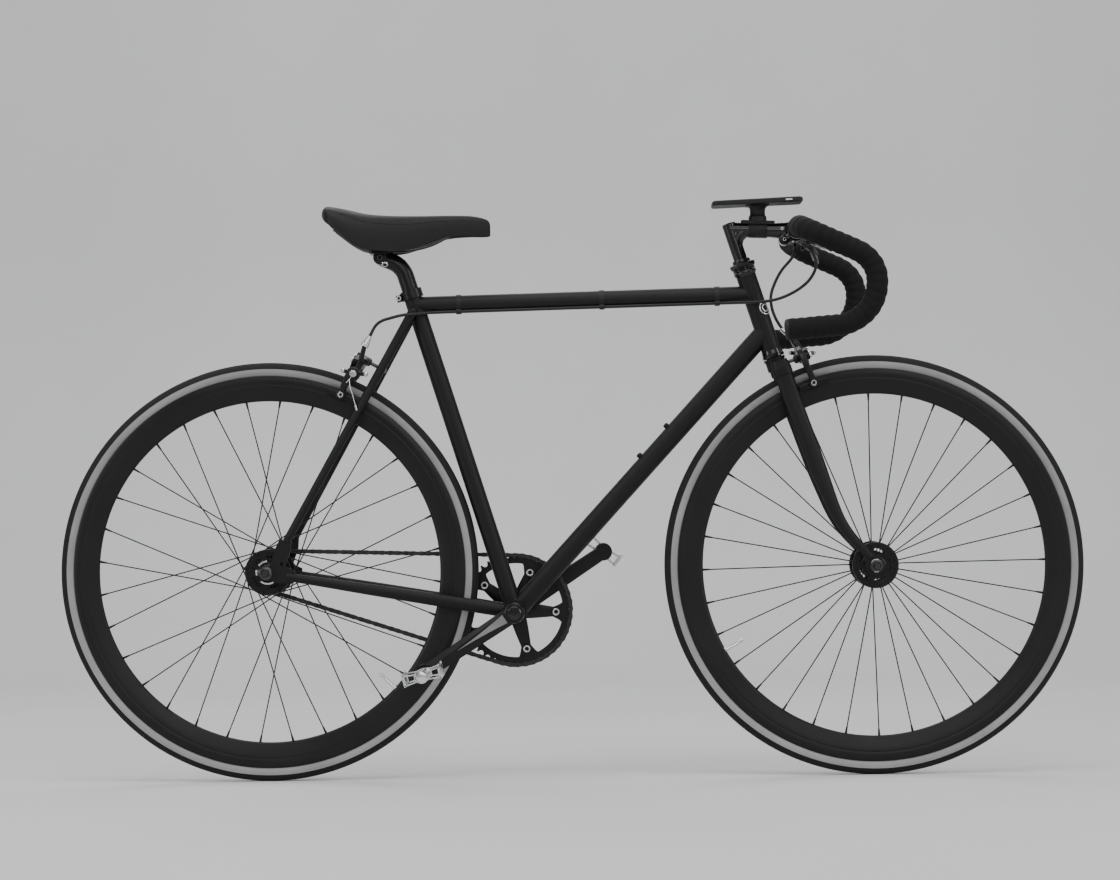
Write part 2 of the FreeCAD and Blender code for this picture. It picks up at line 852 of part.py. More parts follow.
def make_rear_cable():
    """Rear housing from the top tube's front clip back to the rear caliper."""
    anchor = rear_caliper.place(-33, 36)
    return pipe([
        beside_top_tube(clip_places[2] + 6),
        beside_top_tube(30),
        beside_top_tube(-20) + vector(0, -30, -4),
        anchor + stay_up * 34 + vector(0, -12, 0),
        anchor + stay_up * 1,
    ], cable_radius, [60.0, 40.0, 30.0])


def loop_points():
    return [
        bar_centre + vector(6, -70, -20),
        bar_centre + vector(22, -58, -58),
        bar_centre + vector(-8, -46, -96),
        bar_centre + vector(-50, -40, -118),
        beside_top_tube(clip_places[2] + 30) + vector(0, -14, 0),
        beside_top_tube(clip_places[2] + 7),
    ]


def make_rear_cable_loop():
    """Free loop of the rear housing between the lever and the frame, past the head tube."""
    return pipe(loop_points(), cable_radius)


def make_cable_clips():
    clips = []
    for place in clip_places:
        middle = seat_cluster + top_dir * place
        band = rod(middle - top_dir * 4, middle + top_dir * 4, top_tube_radius + 1.2)
        hook = rod(beside_top_tube(place - 4), beside_top_tube(place + 4), cable_radius + 2)
        bore = rod(middle - top_dir * 9, middle + top_dir * 9, top_tube_radius + bearing_gap)
        passage = rod(beside_top_tube(place - 9), beside_top_tube(place + 9), cable_radius + bearing_gap)
        clips.append(band.fuse(hook).cut(bore).cut(passage))
    return Part.makeCompound(clips)


# ---------------------------------------------------------------- phone holder


phone_length = 145.0
phone_width = 70.0
phone_thickness = 8.0
phone_tilt = 2.2
phone_ahead = 43.1
phone_rise = 42.5
phone_centre = stem_corner + vector(phone_ahead, 0, phone_rise)


def phone_slab(length, width, low, high):
    """Slab in the phone's tilted frame, low and high measured from the phone's middle."""
    slab = Part.makeBox(length, width, high - low, vector(-length / 2, -width / 2, low))
    slab.rotate(vector(0, 0, 0), vector(0, 1, 0), -phone_tilt)
    slab.translate(phone_centre)
    return slab


def make_phone_mount():
    """Clamp round the stem's extension with a short neck and a small plate under the phone."""
    run = (bar_centre - stem_corner).normalize()
    middle = stem_corner + run * 44
    band = rod(middle - run * 26, middle + run * 26, 14.0)
    bore = rod(middle - run * 30, middle + run * 30, extension_radius + seat_gap)
    neck = rod(middle, vector(middle.x, 0, phone_centre.z), 10)
    cradle = phone_slab(36, 36, -phone_thickness / 2 - 4.5, -phone_thickness / 2 - seat_gap)
    above = phone_slab(200, 200, -phone_thickness / 2 - seat_gap, 40)
    quill = rod(on_steer(quill_foot), on_steer(quill_top + 20), quill_radius + 3)
    return fuse([band, neck, cradle]).cut(above).cut(bore).cut(quill)


def make_phone():
    """Blank slab, a phone carried nearly level above the stem."""
    return phone_slab(phone_length, phone_width, -phone_thickness / 2, phone_thickness / 2)


# ---------------------------------------------------------------- wheels


def make_tyre(centre):
    """Tyre seated on the rim's edge."""
    half = tyre_width / 2
    crown = tyre_radius - half
    seat = rim_outer_radius + seat_gap
    side = math.sqrt(half**2 - (crown - seat)**2)
    start = centre + vector(seat, -side, 0)
    middle = centre + vector(tyre_radius, 0, 0)
    end = centre + vector(seat, side, 0)
    edges = [Part.Arc(start, middle, end).toShape(), Part.LineSegment(end, start).toShape()]
    face = Part.Face(Part.Wire(edges))
    return face.revolve(centre, vector(0, 1, 0), 360)


def make_rim(centre):
    """Deep rim with flat brake tracks and a valve that points at the hub."""
    half, edge = rim_width / 2, rim_edge_width / 2
    track = rim_outer_radius - brake_track_depth
    body = turned([
        (rim_outer_radius, -half), (rim_outer_radius, half), (track, half), (track - 2, half - 0.8),
        (rim_inner_radius + 4, edge + 1.5), (rim_inner_radius, edge - 1.5),
        (rim_inner_radius, -edge + 1.5), (rim_inner_radius + 4, -edge - 1.5),
        (track - 2, -half + 0.8), (track, -half),
    ], centre)
    return body


def valve(centre, degrees):
    out = heading(degrees)
    return rod(centre + out * (rim_inner_radius - valve_length + 8), centre + out * (rim_inner_radius + 3), 3)


def make_hub(centre, spacing, width, bore):
    """High-flange hub: shell, two slotted flanges and its bearing caps, bored for the axle."""
    half = spacing / 2
    end = width / 2 - 1.0
    profile = [
        (bore, -end), (10, -end), (10, -half - 5), (hub_shell_radius + 3, -half - 2),
        (flange_radius, -half - flange_thickness / 2), (flange_radius, -half + flange_thickness / 2),
        (hub_shell_radius + 5, -half + 3), (hub_shell_radius, -half + 10),
        (hub_shell_radius, half - 10), (hub_shell_radius + 5, half - 3),
        (flange_radius, half - flange_thickness / 2), (flange_radius, half + flange_thickness / 2),
        (hub_shell_radius + 3, half + 2), (10, half + 5), (10, end), (bore, end),
    ]
    shell = turned(profile, centre)
    holes = []
    for index in range(flange_slots):
        middle = 360 / flange_slots * index
        for shift in (-18, -6, 6, 18):
            at = centre + heading(middle + shift) * (flange_slot_radius + 6)
            holes.append(across(at, flange_slot_width / 2, -half - 8, -half + 8))
            holes.append(across(at, flange_slot_width / 2, half - 8, half + 8))
    return shell.cut(Part.makeCompound(holes))


def make_spokes(centre, count, spacing, crossing_deg, valve_deg):
    """Spokes from the flanges to the rim, leaning by turns when they cross, clear of the valve."""
    spokes = []
    half = spacing / 2
    pitch = 360 / count
    lacing = 1 if crossing_deg else 0
    for index in range(count):
        side = 1 if index % 2 else -1
        lean = 1 if (index // 2) % 2 else -1
        rim_angle = valve_deg + pitch * (index + 0.5)
        hub_angle = rim_angle + lean * crossing_deg
        hub_side = side * half + lean * lacing * 3.2
        rim_side = side * 1.6 + lean * lacing * 1.3
        start = centre + heading(hub_angle) * (flange_radius + seat_gap + 0.6) + vector(0, hub_side, 0)
        end = centre + heading(rim_angle) * (rim_inner_radius - seat_gap) + vector(0, rim_side, 0)
        spokes.append(rod(start, end, spoke_radius))
    return Part.makeCompound(spokes)


def make_axle(centre, radius, spacing, plate_thickness):
    """Fixed axle with a nut and washer outside each frame end."""
    face = spacing / 2 + plate_thickness
    shaft = across(centre, radius, -face - 12, face + 12)
    pieces = [shaft]
    for side in (-1, 1):
        low, high = sorted((side * (face + seat_gap), side * (face + 8)))
        nut = across(centre, 8.0, low, high)
        inner_low, inner_high = sorted((side * (spacing / 2 - seat_gap), side * (spacing / 2 - 0.8)))
        pieces += [nut, across(centre, 8.0, inner_low, inner_high)]
    return fuse(pieces)


# ---------------------------------------------------------------- drive

ring_pitch_radius = pitch_radius(chainring_teeth)
cog_pitch_radius = pitch_radius(sprocket_teeth)
ring_thickness = 2.2
chain_gap = 3.8
chain_plate = 2.0
chain_half_height = 4.3
roller_radius = 3.9
bolt_circle = 65.0
spider_outer = 70.0


def belt(offset, low, high):
    """Solid belt outline round both chain wheels, offset from the pitch line."""
    big = ring_pitch_radius + offset
    small = cog_pitch_radius + offset
    run = crank_centre - rear_hub
    slope = math.atan2(run.z, run.x)
    lean = math.asin((big - small) / run.Length)
    upper = math.degrees(slope + lean) + 90
    lower = math.degrees(slope - lean) - 90
    corners = []
    for centre, radius, angle in (
        (rear_hub, small, upper), (crank_centre, big, upper),
        (crank_centre, big, lower), (rear_hub, small, lower),
    ):
        corners.append(vector(centre.x, low, centre.z) + heading(angle) * radius)
    front = vector(crank_centre.x, low, crank_centre.z) + heading(math.degrees(slope)) * big
    back = vector(rear_hub.x, low, rear_hub.z) - heading(math.degrees(slope)) * small
    edges = [
        Part.LineSegment(corners[0], corners[1]).toShape(),
        Part.Arc(corners[1], front, corners[2]).toShape(),
        Part.LineSegment(corners[2], corners[3]).toShape(),
        Part.Arc(corners[3], back, corners[0]).toShape(),
    ]
    return Part.Face(Part.Wire(edges)).extrude(vector(0, high - low, 0)), corners


def make_chain():
    """Closed chain: two lines of side plates with rollers between them on the free runs."""
    plates = []
    for side in (-1, 1):
        low = chain_line + min(side * chain_gap / 2, side * (chain_gap / 2 + chain_plate))
        outer, _ = belt(chain_half_height, low, low + chain_plate)
        inner, _ = belt(-chain_half_height, low, low + chain_plate)
        plates.append(outer.cut(inner))
    _, corners = belt(0, 0, 1)
    rollers = []
    margin = 40.0
    half = chain_gap / 2 + chain_plate / 2
    for start, end in ((corners[0], corners[1]), (corners[3], corners[2])):
        run = end - start
        usable = run.Length - 2 * margin
        count = int(usable / chain_pitch)
        direction = run.normalize()
        for index in range(count + 1):
            at = start + direction * (margin + (usable - count * chain_pitch) / 2 + index * chain_pitch)
            rollers.append(across(at, roller_radius, chain_line - half, chain_line + half))
    return fuse(plates + rollers)


def make_sprocket():
    """Freewheel with its rim of teeth, screwed on the hub's left side."""
    teeth = disc_ring(rear_hub, cog_pitch_radius + 1.5, 22, chain_line - 1.1, chain_line + 1.1)
    body = disc_ring(rear_hub, 24.0, 10 + bearing_gap, chain_line - 4.5, chain_line + 6)
    return teeth.fuse(body)


def make_chainring():
    """Toothed ring with five lugs that reach in to the spider's bolts."""
    low, high = chain_line - ring_thickness / 2, chain_line + ring_thickness / 2
    ring = disc_ring(crank_centre, ring_pitch_radius + 1.5, 76, low, high)
    lugs = []
    for index in range(5):
        at = crank_centre + heading(spider_angle(index)) * bolt_circle
        lugs.append(across(at, 9, low, high))
        lugs.append(across(crank_centre + heading(spider_angle(index)) * 72, 11, low, high))
    whole = fuse([ring] + lugs)
    for index in range(5):
        at = crank_centre + heading(spider_angle(index)) * bolt_circle
        whole = whole.cut(across(at, 4 + seat_gap, low - 1, high + 1))
    return whole


def spider_angle(index):
    return crank_angle + 180 - 36 + 72 * index


crank_inner = 52.0
crank_thick = 13.0
arm_boss_radius = 15.0
arm_end_radius = 13.0


def crank_arm(degrees, side, thick_low):
    """Arm from the axle boss to the pedal boss, drawn in at the hub end and out at the pedal."""
    end = crank_centre + heading(degrees) * crank_length
    low, high = sorted((side * thick_low, side * (thick_low + crank_thick)))
    boss = across(crank_centre, arm_boss_radius, low, high)
    tip = across(end, arm_end_radius, low, high)
    across_dir = heading(degrees + 90)
    corners = [
        crank_centre + across_dir * 12.5, end + across_dir * 10.5,
        end - across_dir * 10.5, crank_centre - across_dir * 12.5,
    ]
    corners = [vector(corner.x, low, corner.z) for corner in corners]
    web = Part.Face(Part.makePolygon(corners + corners[:1])).extrude(vector(0, high - low, 0))
    return fuse([boss, web, tip])


def make_crank_right():
    arm = crank_arm(crank_angle, -1, crank_inner)
    return arm.cut(across(crank_centre, crank_axle_radius, -70, 0)).cut(pedal_shaft(-1))


def make_crank_left():
    """Left crank with its five-armed spider and the chainring bolts."""
    arm = crank_arm(crank_angle + 180, 1, crank_inner)
    low, high = chain_line + ring_thickness / 2 + bearing_gap, crank_inner + 3
    pieces = [arm, across(crank_centre, 22, low, high)]
    for index in range(5):
        out = heading(spider_angle(index))
        at = crank_centre + out * bolt_circle
        side_dir = heading(spider_angle(index) + 90)
        corners = [
            crank_centre + side_dir * 11, at + side_dir * 6.5, at - side_dir * 6.5,
            crank_centre - side_dir * 11,
        ]
        corners = [vector(corner.x, low, corner.z) for corner in corners]
        finger = Part.Face(Part.makePolygon(corners + corners[:1]))
        pieces.append(finger.extrude(vector(0, 4.5, 0)))
        pieces.append(across(at, 8, low, low + 4.5))
        pieces.append(across(at, 4, chain_line - ring_thickness / 2 - 2, low + 1))
    body = fuse(pieces)
    return body.cut(across(crank_centre, crank_axle_radius, 0, 70)).cut(pedal_shaft(1))


def make_crank_axle():
    return across(crank_centre, crank_axle_radius - seat_gap, -64.0, 64.0)


def pedal_centre(side):
    degrees = crank_angle if side < 0 else crank_angle + 180
    return crank_centre + heading(degrees) * crank_length


pedal_axle_radius = 5.0
pedal_boss_radius = 6.5


def pedal_shaft(side):
    """Blank for the pedal axle's thread in the crank."""
    low, high = sorted((side * (crank_inner - 2), side * (pedal_offset - 6)))
    return across(pedal_centre(side), pedal_boss_radius, low, high)


def make_pedal_axles():
    axles = []
    for side in (-1, 1):
        centre = pedal_centre(side)
        near, far = side * (pedal_offset - 4), side * (pedal_offset + pedal_length - 12)
        low, high = sorted((near, far))
        thread_low, thread_high = sorted((side * (crank_inner + 1), near))
        thread = across(centre, pedal_boss_radius - seat_gap, thread_low, thread_high)
        axles.append(across(centre, pedal_axle_radius, low, high).fuse(thread))
    return Part.makeCompound(axles)


pedal_tilts = {-1: 14.0, 1: -38.0}


def make_pedal(side):
    """Cage pedal: a barrel on the axle, and a cage of front, rear and end plates."""
    bore = pedal_axle_radius + bearing_gap
    near = pedal_offset + 1.0
    far = pedal_offset + pedal_length
    half_tread, half_height = pedal_tread / 2, pedal_height / 2
    centre = vector(0, 0, 0)
    barrel = across(centre, 9.0, near, far - 8)
    plates = [barrel]
    for edge in (-half_tread, half_tread - 2.5):
        plates.append(Part.makeBox(2.5, far - near - 6, pedal_height, vector(edge, near + 3, -half_height)))
    for place in (near + 3, far - 12):
        slab = Part.makeBox(pedal_tread, 4, pedal_height - 4, vector(-half_tread, place, -half_height + 2))
        for window in (-half_tread + 6, 12.5):
            slab = slab.cut(Part.makeBox(12.5, 8, pedal_height - 11, vector(window, place - 2, -half_height + 5.5)))
        plates.append(slab)
    plates.append(across(centre, 8.0, far - 10, far - 3))
    body = fuse(plates).cut(across(centre, bore, near - 5, far - 11))
    body.rotate(centre, vector(0, 1, 0), -pedal_tilts[side])
    if side < 0:
        body = mirrored(body)
    body.translate(pedal_centre(side))
    return body


# ---------------------------------------------------------------- assembly


def build():
    chain_stay = make_chain_stay()
    seat_stay = make_seat_stay()
    track_end = make_track_end()
    fork_blade = make_fork_blade()
    bar_tape = make_bar_tape()
    brake_lever = make_brake_lever()
    front_hub_width = front_spacing - 2
    rear_hub_width = rear_spacing - 2
    return {
        "head_tube": make_head_tube(),
        "headset_cups": make_headset_cups(),
        "top_tube": make_top_tube(),
        "down_tube": make_down_tube(),
        "seat_tube": make_seat_tube(),
        "bottom_bracket": make_bottom_bracket(),
        "chain_stay_left": chain_stay,
        "chain_stay_right": mirrored(chain_stay),
        "seat_stay_left": seat_stay,
        "seat_stay_right": mirrored(seat_stay),
        "track_ends": both_sides(track_end),
        "seat_stay_bridge": make_seat_stay_bridge(),
        "seat_collar": make_seat_collar(),
        "seat_post": make_seat_post(),
        "saddle_clamp": make_saddle_clamp(),
        "saddle_rails": make_saddle_rails(),
        "saddle": make_saddle(),
        "rear_brake": make_rear_brake(),
        "rear_brake_pads": make_pads(rear_caliper),
        "rear_cable": make_rear_cable(),
        "rear_cable_loop": make_rear_cable_loop(),
        "cable_clips": make_cable_clips(),
        "rear_axle": make_axle(rear_hub, rear_axle_radius, rear_spacing, track_end_thickness),
        "chain": make_chain(),
        "fork_crown": make_fork_crown(),
        "fork_blade_left": fork_blade,
        "fork_blade_right": mirrored(fork_blade),
        "headset_nut": make_headset_nut(),
        "stem": make_stem(),
        "handlebar": make_handlebar(),
        "bar_tape_left": bar_tape,
        "bar_tape_right": mirrored(bar_tape),
        "bar_plugs": make_bar_plugs(),
        "brake_lever_left": brake_lever,
        "brake_lever_right": mirrored(brake_lever),
        "front_brake": make_front_brake(),
        "front_brake_pads": make_pads(front_caliper),
        "front_cable": make_front_cable(),
        "phone_mount": make_phone_mount(),
        "phone": make_phone(),
        "front_axle": make_axle(front_hub, axle_radius, front_spacing, fork_tip_thickness),
        "front_tyre": make_tyre(front_hub),
        "front_rim": make_rim(front_hub).fuse(valve(front_hub, front_valve_deg)),
        "front_spokes": make_spokes(front_hub, front_spoke_count, front_flange_spacing, 0, front_valve_deg),
        "front_hub": make_hub(front_hub, front_flange_spacing, front_hub_width, axle_radius + bearing_gap),
        "rear_tyre": make_tyre(rear_hub),
        "rear_rim": make_rim(rear_hub).fuse(valve(rear_hub, rear_valve_deg)),
        "rear_spokes": make_spokes(
            rear_hub, rear_spoke_count, rear_flange_spacing, rear_spoke_crossing_deg, rear_valve_deg
        ),
        "rear_hub": make_hub(rear_hub, rear_flange_spacing, rear_hub_width, rear_axle_radius + bearing_gap),
        "sprocket": make_sprocket(),
        "chainring": make_chainring(),
        "crank_left": make_crank_left(),
        "crank_right": make_crank_right(),
        "crank_axle": make_crank_axle(),
        "pedal_axles": make_pedal_axles(),
        "pedal_left": make_pedal(1),
        "pedal_right": make_pedal(-1),
    }


def save(nodes):
    os.makedirs("parts", exist_ok=True)
    for name, shape in nodes.items():
        moved = shape.copy()
        moved.translate(rider * -1)
        if not moved.isValid():
            print("invalid", name)
        moved.exportStep(os.path.join("parts", name + ".step"))
        print(name, len(moved.Solids), round(moved.Volume / 1000, 1))


save(build())
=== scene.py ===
"""Looks of the single-speed road bicycle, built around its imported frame.

Metres, in the frame's own axes: +X forward, +Y the rider's left, +Z up.
The origin is on top of the saddle.
Places come from the frame's joints and boxes. ground() turns millimetres ahead of the rear axle,
to the left and above the ground into those axes.
"""

import bmesh
import bpy
import json
import math
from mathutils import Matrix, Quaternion, Vector


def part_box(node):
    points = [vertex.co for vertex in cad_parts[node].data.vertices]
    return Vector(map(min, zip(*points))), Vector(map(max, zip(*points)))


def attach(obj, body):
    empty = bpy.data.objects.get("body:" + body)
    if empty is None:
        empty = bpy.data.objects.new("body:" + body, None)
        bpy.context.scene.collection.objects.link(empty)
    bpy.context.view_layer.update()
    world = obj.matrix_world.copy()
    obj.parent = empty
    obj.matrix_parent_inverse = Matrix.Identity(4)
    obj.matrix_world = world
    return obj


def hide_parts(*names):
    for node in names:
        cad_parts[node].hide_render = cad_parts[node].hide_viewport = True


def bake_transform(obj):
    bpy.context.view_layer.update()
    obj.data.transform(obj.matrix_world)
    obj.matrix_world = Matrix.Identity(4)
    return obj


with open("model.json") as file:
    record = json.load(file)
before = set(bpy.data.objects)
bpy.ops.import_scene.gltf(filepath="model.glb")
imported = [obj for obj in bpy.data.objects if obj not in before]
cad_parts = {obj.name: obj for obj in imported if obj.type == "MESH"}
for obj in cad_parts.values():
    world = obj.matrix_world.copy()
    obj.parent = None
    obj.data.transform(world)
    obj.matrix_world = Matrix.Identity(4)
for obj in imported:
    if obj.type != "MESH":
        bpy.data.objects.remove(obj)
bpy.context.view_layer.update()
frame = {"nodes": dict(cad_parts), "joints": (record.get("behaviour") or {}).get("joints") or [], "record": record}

MM = 0.001
LEFT = Vector((0, 1, 0))
UP = Vector((0, 0, 1))
AHEAD = Vector((1, 0, 0))


# ---------------------------------------------------------------- places taken from the frame


def joint_place(name):
    return Vector(next(j for j in frame["joints"] if j["name"] == name)["pos_m"])


rear_hub = joint_place("rear_wheel_spin")
front_hub = joint_place("front_wheel_spin")
crank_centre = joint_place("crank_spin")
pedal_centres = {1: joint_place("pedal_left_spin"), -1: joint_place("pedal_right_spin")}
steer_up = Vector(next(j for j in frame["joints"] if j["name"] == "steering")["axis"]).normalized()
steer_ahead = Vector((steer_up.z, 0, -steer_up.x))
FORK_RAKE = 45 * MM
steer_base = front_hub - steer_ahead * FORK_RAKE
floor_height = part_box("rear_tyre")[0].z


def ground(ahead, left, height):
    """Place given in mm ahead of the rear axle, to the left and above the ground."""
    return Vector((rear_hub.x + ahead * MM, left * MM, floor_height + height * MM))


def in_mm(*pairs):
    """Pairs of millimetres as a list of pairs in metres."""
    return [(first * MM, second * MM) for first, second in pairs]


def on_steer(height, ahead=0.0, side=0.0):
    """Millimetres up the steering axis, ahead of it and aside, as a place in metres."""
    return steer_base + steer_up * (height * MM) + steer_ahead * (ahead * MM) + LEFT * (side * MM)


def heading(degrees):
    """Unit vector in the side view, measured up from +X."""
    angle = math.radians(degrees)
    return Vector((math.cos(angle), 0, math.sin(angle)))


SEAT_TUBE_ANGLE = 72.6
seat_dir = heading(180 - SEAT_TUBE_ANGLE)
bar_centre = ground(850.9, 0, 873)
stem_corner = on_steer(583.4)


# ---------------------------------------------------------------- mesh building


class Shape:
    """Vertices and faces gathered for one piece, each face with the number of its material."""

    def __init__(self):
        self.verts = []
        self.faces = []
        self.slots = []

    def add(self, verts, faces, slot=0):
        start = len(self.verts)
        self.verts.extend(verts)
        for face in faces:
            self.faces.append([start + index for index in face])
            self.slots.append(slot)

    def rings(self, rings, slot=0, closed=False, caps=True):
        """Skin over rings of equally many points. closed joins the last ring to the first."""
        count = len(rings[0])
        faces = []
        last = len(rings) if closed else len(rings) - 1
        for row in range(last):
            low, high = row * count, (row + 1) % len(rings) * count
            for index in range(count):
                after = (index + 1) % count
                faces.append([low + index, low + after, high + after, high + index])
        if caps and not closed:
            faces.append(list(range(count))[::-1])
            faces.append([(len(rings) - 1) * count + index for index in range(count)])
        self.add([point for ring in rings for point in ring], faces, slot)

    def lathe(self, profile, centre, axis, steps=32, slot=0, closed=False, phase=0.0):
        """Turned shape from (radius, place along the axis) points, both in metres."""
        side, other = square_to(axis)
        around = []
        for step in range(steps):
            angle = 2 * math.pi * (step + phase) / steps
            around.append(side * math.cos(angle) + other * math.sin(angle))
        rings = []
        for radius, place in profile:
            middle = centre + axis * place
            rings.append([middle + out * max(radius, 1e-6) for out in around])
        self.rings(rings, slot, closed)

    def rod(self, start, end, radius, end_radius=None, steps=20, slot=0, bevel=0.0004):
        """Round bar with softened ends."""
        run = end - start
        tip = radius if end_radius is None else end_radius
        profile = [
            (radius - bevel, 0), (radius, bevel), (tip, run.length - bevel),
            (tip - bevel, run.length)
        ]
        self.lathe(profile, start, run.normalized(), steps, slot)

    def nut(self, centre, axis, flats, height, slot=0, bevel=0.0005, phase=0.0):
        """Hexagon nut or bolt head, its corners chamfered."""
        corner = flats / math.sqrt(3)
        profile = [
            (corner - bevel, 0), (corner, bevel), (corner, height - bevel),
            (corner - bevel * 1.6, height)
        ]
        self.lathe(profile, centre, axis, 6, slot, phase=phase)

    def cap_bolt(self, centre, axis, radius, height, slot=0, socket_shade_slot=None):
        """Round bolt head with a hexagon socket in its face; a dark disc on the socket's floor is painted shade.
        """
        hole = radius * 0.55
        profile = [
            (radius, 0), (radius, height * 0.75), (radius * 0.9, height), (hole, height),
            (hole, height * 0.35), (0, height * 0.35),
        ]
        self.lathe(profile, centre, axis, 24, slot)
        if socket_shade_slot is not None:
            self.lathe(
                [(hole * 0.98, height * 0.37), (0, height * 0.38)], centre, axis, 6, socket_shade_slot
            )

    def tube(self, points, radius, steps=12, slot=0, caps=True):
        """Round tube along places. radius is a number or a function of the distance."""
        self.swept(points, lambda along, angle: radius, steps, slot, caps)

    def swept(self, points, radius_at, steps, slot=0, caps=True, across=None):
        """Tube whose radius depends on the distance along and the angle round the line."""
        normal = across if across else square_to((points[1] - points[0]).normalized())[0]
        along = 0.0
        rings = []
        for index, point in enumerate(points):
            before = points[max(index - 1, 0)]
            after = points[min(index + 1, len(points) - 1)]
            run = (after - before).normalized()
            along += (point - before).length
            normal = (normal - run * normal.dot(run)).normalized()
            other = run.cross(normal)
            ring = []
            for step in range(steps):
                angle = 2 * math.pi * step / steps
                out = normal * math.cos(angle) + other * math.sin(angle)
                ring.append(point + out * radius_at(along, angle))
            rings.append(ring)
        self.rings(rings, slot, caps=caps)

    def ribbon(self, points, half_widths, half_thicknesses, normal, slot=0, round_share=0.35):
        """Forged arm: a rounded rectangle carried along a line, flat across normal."""
        rings = []
        for index, point in enumerate(points):
            before = points[max(index - 1, 0)]
            after = points[min(index + 1, len(points) - 1)]
            run = (after - before).normalized()
            side = normal.cross(run).normalized()
            width, thick = half_widths[index], half_thicknesses[index]
            corner = round_share * min(width, thick)
            ring = []
            for sign_side, sign_up in ((1, 1), (-1, 1), (-1, -1), (1, -1)):
                quarter = {(1, 1): 0, (-1, 1): 90, (-1, -1): 180,
                           (1, -1): 270}[(sign_side, sign_up)]
                middle = side * (sign_side * (width - corner)) + normal * (sign_up * (thick - corner))
                for turn in (5, 30, 60, 85):
                    angle = math.radians(quarter + turn)
                    out = side * math.cos(angle) + normal * math.sin(angle)
                    ring.append(point + middle + out * corner)
            rings.append(ring)
        self.rings(rings, slot)

    def slab(self, outline, centre, across, along, normal, low, high, slot=0, bevel=0.0005):
        """Flat plate with softened edges from an outline of (across, along) points."""
        inner = inset(outline, bevel)
        rings = []
        for points, height in ((inner, low), (outline, low + bevel), (outline, high - bevel),
                               (inner, high)):
            rings.append([centre + across * u + along * v + normal * height for u, v in points])
        self.rings(rings, slot)

    def piece(self, name, body, materials, replaces=(), sharp=34.0):
        """Blender object of this shape that rides on a body."""
        mesh = bpy.data.meshes.new(name)
        mesh.from_pydata([tuple(vert) for vert in self.verts], [], self.faces)
        mesh.polygons.foreach_set("material_index", self.slots)
        for material in materials:
            mesh.materials.append(material)
        work = bmesh.new()
        work.from_mesh(mesh)
        bmesh.ops.remove_doubles(work, verts=work.verts, dist=1e-6)
        bmesh.ops.dissolve_degenerate(work, edges=work.edges, dist=1e-7)
        bmesh.ops.recalc_face_normals(work, faces=work.faces)
        work.to_mesh(mesh)
        work.free()
        mesh.polygons.foreach_set("use_smooth", [True] * len(mesh.polygons))
        mesh.set_sharp_from_angle(angle=math.radians(sharp))
        thing = bpy.data.objects.new(name, mesh)
        bpy.context.scene.collection.objects.link(thing)
        if body:
            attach(thing, body)
        if replaces:
            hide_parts(*replaces)
        return thing


def square_to(axis):
    """Two unit vectors square to an axis and to each other."""
    helper = LEFT if abs(axis.y) < 0.9 else AHEAD
    side = helper.cross(axis).normalized()
    return side, axis.cross(side).normalized()


def inset(outline, distance):
    """The outline moved inwards by a distance at each corner."""
    area = 0.0
    for (ax, ay), (bx, by) in zip(outline, outline[1:] + outline[:1]):
        area += ax * by - bx * ay
    sign = 1 if area > 0 else -1
    moved = []
    for index, (x, y) in enumerate(outline):
        before = Vector(outline[index - 1])
        after = Vector(outline[(index + 1) % len(outline)])
        here = Vector((x, y))
        first = (here - before).normalized()
        second = (after - here).normalized()
        normal = Vector((-first.y - second.y, first.x + second.x))
        if normal.length < 1e-6:
            normal = Vector((-first.y, first.x))
        inward = normal.normalized() * sign
        moved.append((x + inward.x * distance, y + inward.y * distance))
    return moved


def smooth_line(points, order=3):
    """Places along a smooth NURBS line with the given control points."""
    curve = bpy.data.curves.new("line", "CURVE")
    curve.dimensions = "3D"
    spline = curve.splines.new("NURBS")
    spline.points.add(len(points) - 1)
    for point, place in zip(spline.points, points):
        point.co = (*place, 1)
    spline.order_u = order
    spline.use_endpoint_u = True
    spline.resolution_u = 10
    thing = bpy.data.objects.new("line", curve)
    mesh = bpy.data.meshes.new_from_object(thing)
    places = [vert.co.copy() for vert in mesh.vertices]
    bpy.data.objects.remove(thing)
    bpy.data.curves.remove(curve)
    bpy.data.meshes.remove(mesh)
    return places


def arc_line(points, radii, step):
    """Places along straight runs joined by tangent arcs."""
    places = [points[0]]
    for index in range(1, len(points) - 1):
        corner = points[index]
        back = (points[index - 1] - corner).normalized()
        ahead = (points[index + 1] - corner).normalized()
        half_turn = (math.pi - back.angle(ahead)) / 2
        radius = radii[index - 1]
        cut = radius * math.tan(half_turn)
        bisector = (back + ahead).normalized()
        middle = corner + bisector * (radius / math.cos(half_turn))
        start, end = corner + back * cut, corner + ahead * cut
        straight = (start - places[-1]).length
        count = max(int(straight / step), 1)
        first = places[-1].copy()
        for place in range(1, count + 1):
            places.append(first.lerp(start, place / count))
        count = max(int(2 * half_turn * radius / step), 4)
        arm_start, arm_end = start - middle, end - middle
        for place in range(1, count + 1):
            turn = place / count
            angle = 2 * half_turn
            arm = arm_start * math.sin((1 - turn) * angle) + arm_end * math.sin(turn * angle)
            places.append(middle + arm / math.sin(angle))
    first = places[-1].copy()
    count = max(int((points[-1] - first).length / step), 1)
    for place in range(1, count + 1):
        places.append(first.lerp(points[-1], place / count))
    return places


def hermite(values, share):
    """Smooth value between evenly numbered ones, share running from 0 to the last number."""
    index = min(int(share), len(values) - 2)
    part = share - index
    low, high = values[index], values[index + 1]
    before = values[index - 1] if index else low
    after = values[index + 2] if index + 2 < len(values) else high
    rise_low, rise_high = (high - before) / 2, (after - low) / 2
    square, cube = part * part, part**3
    return (
        (2 * cube - 3 * square + 1) * low + (cube - 2 * square + part) * rise_low
        + (3 * square - 2 * cube) * high + (cube - square) * rise_high
    )


# ---------------------------------------------------------------- materials


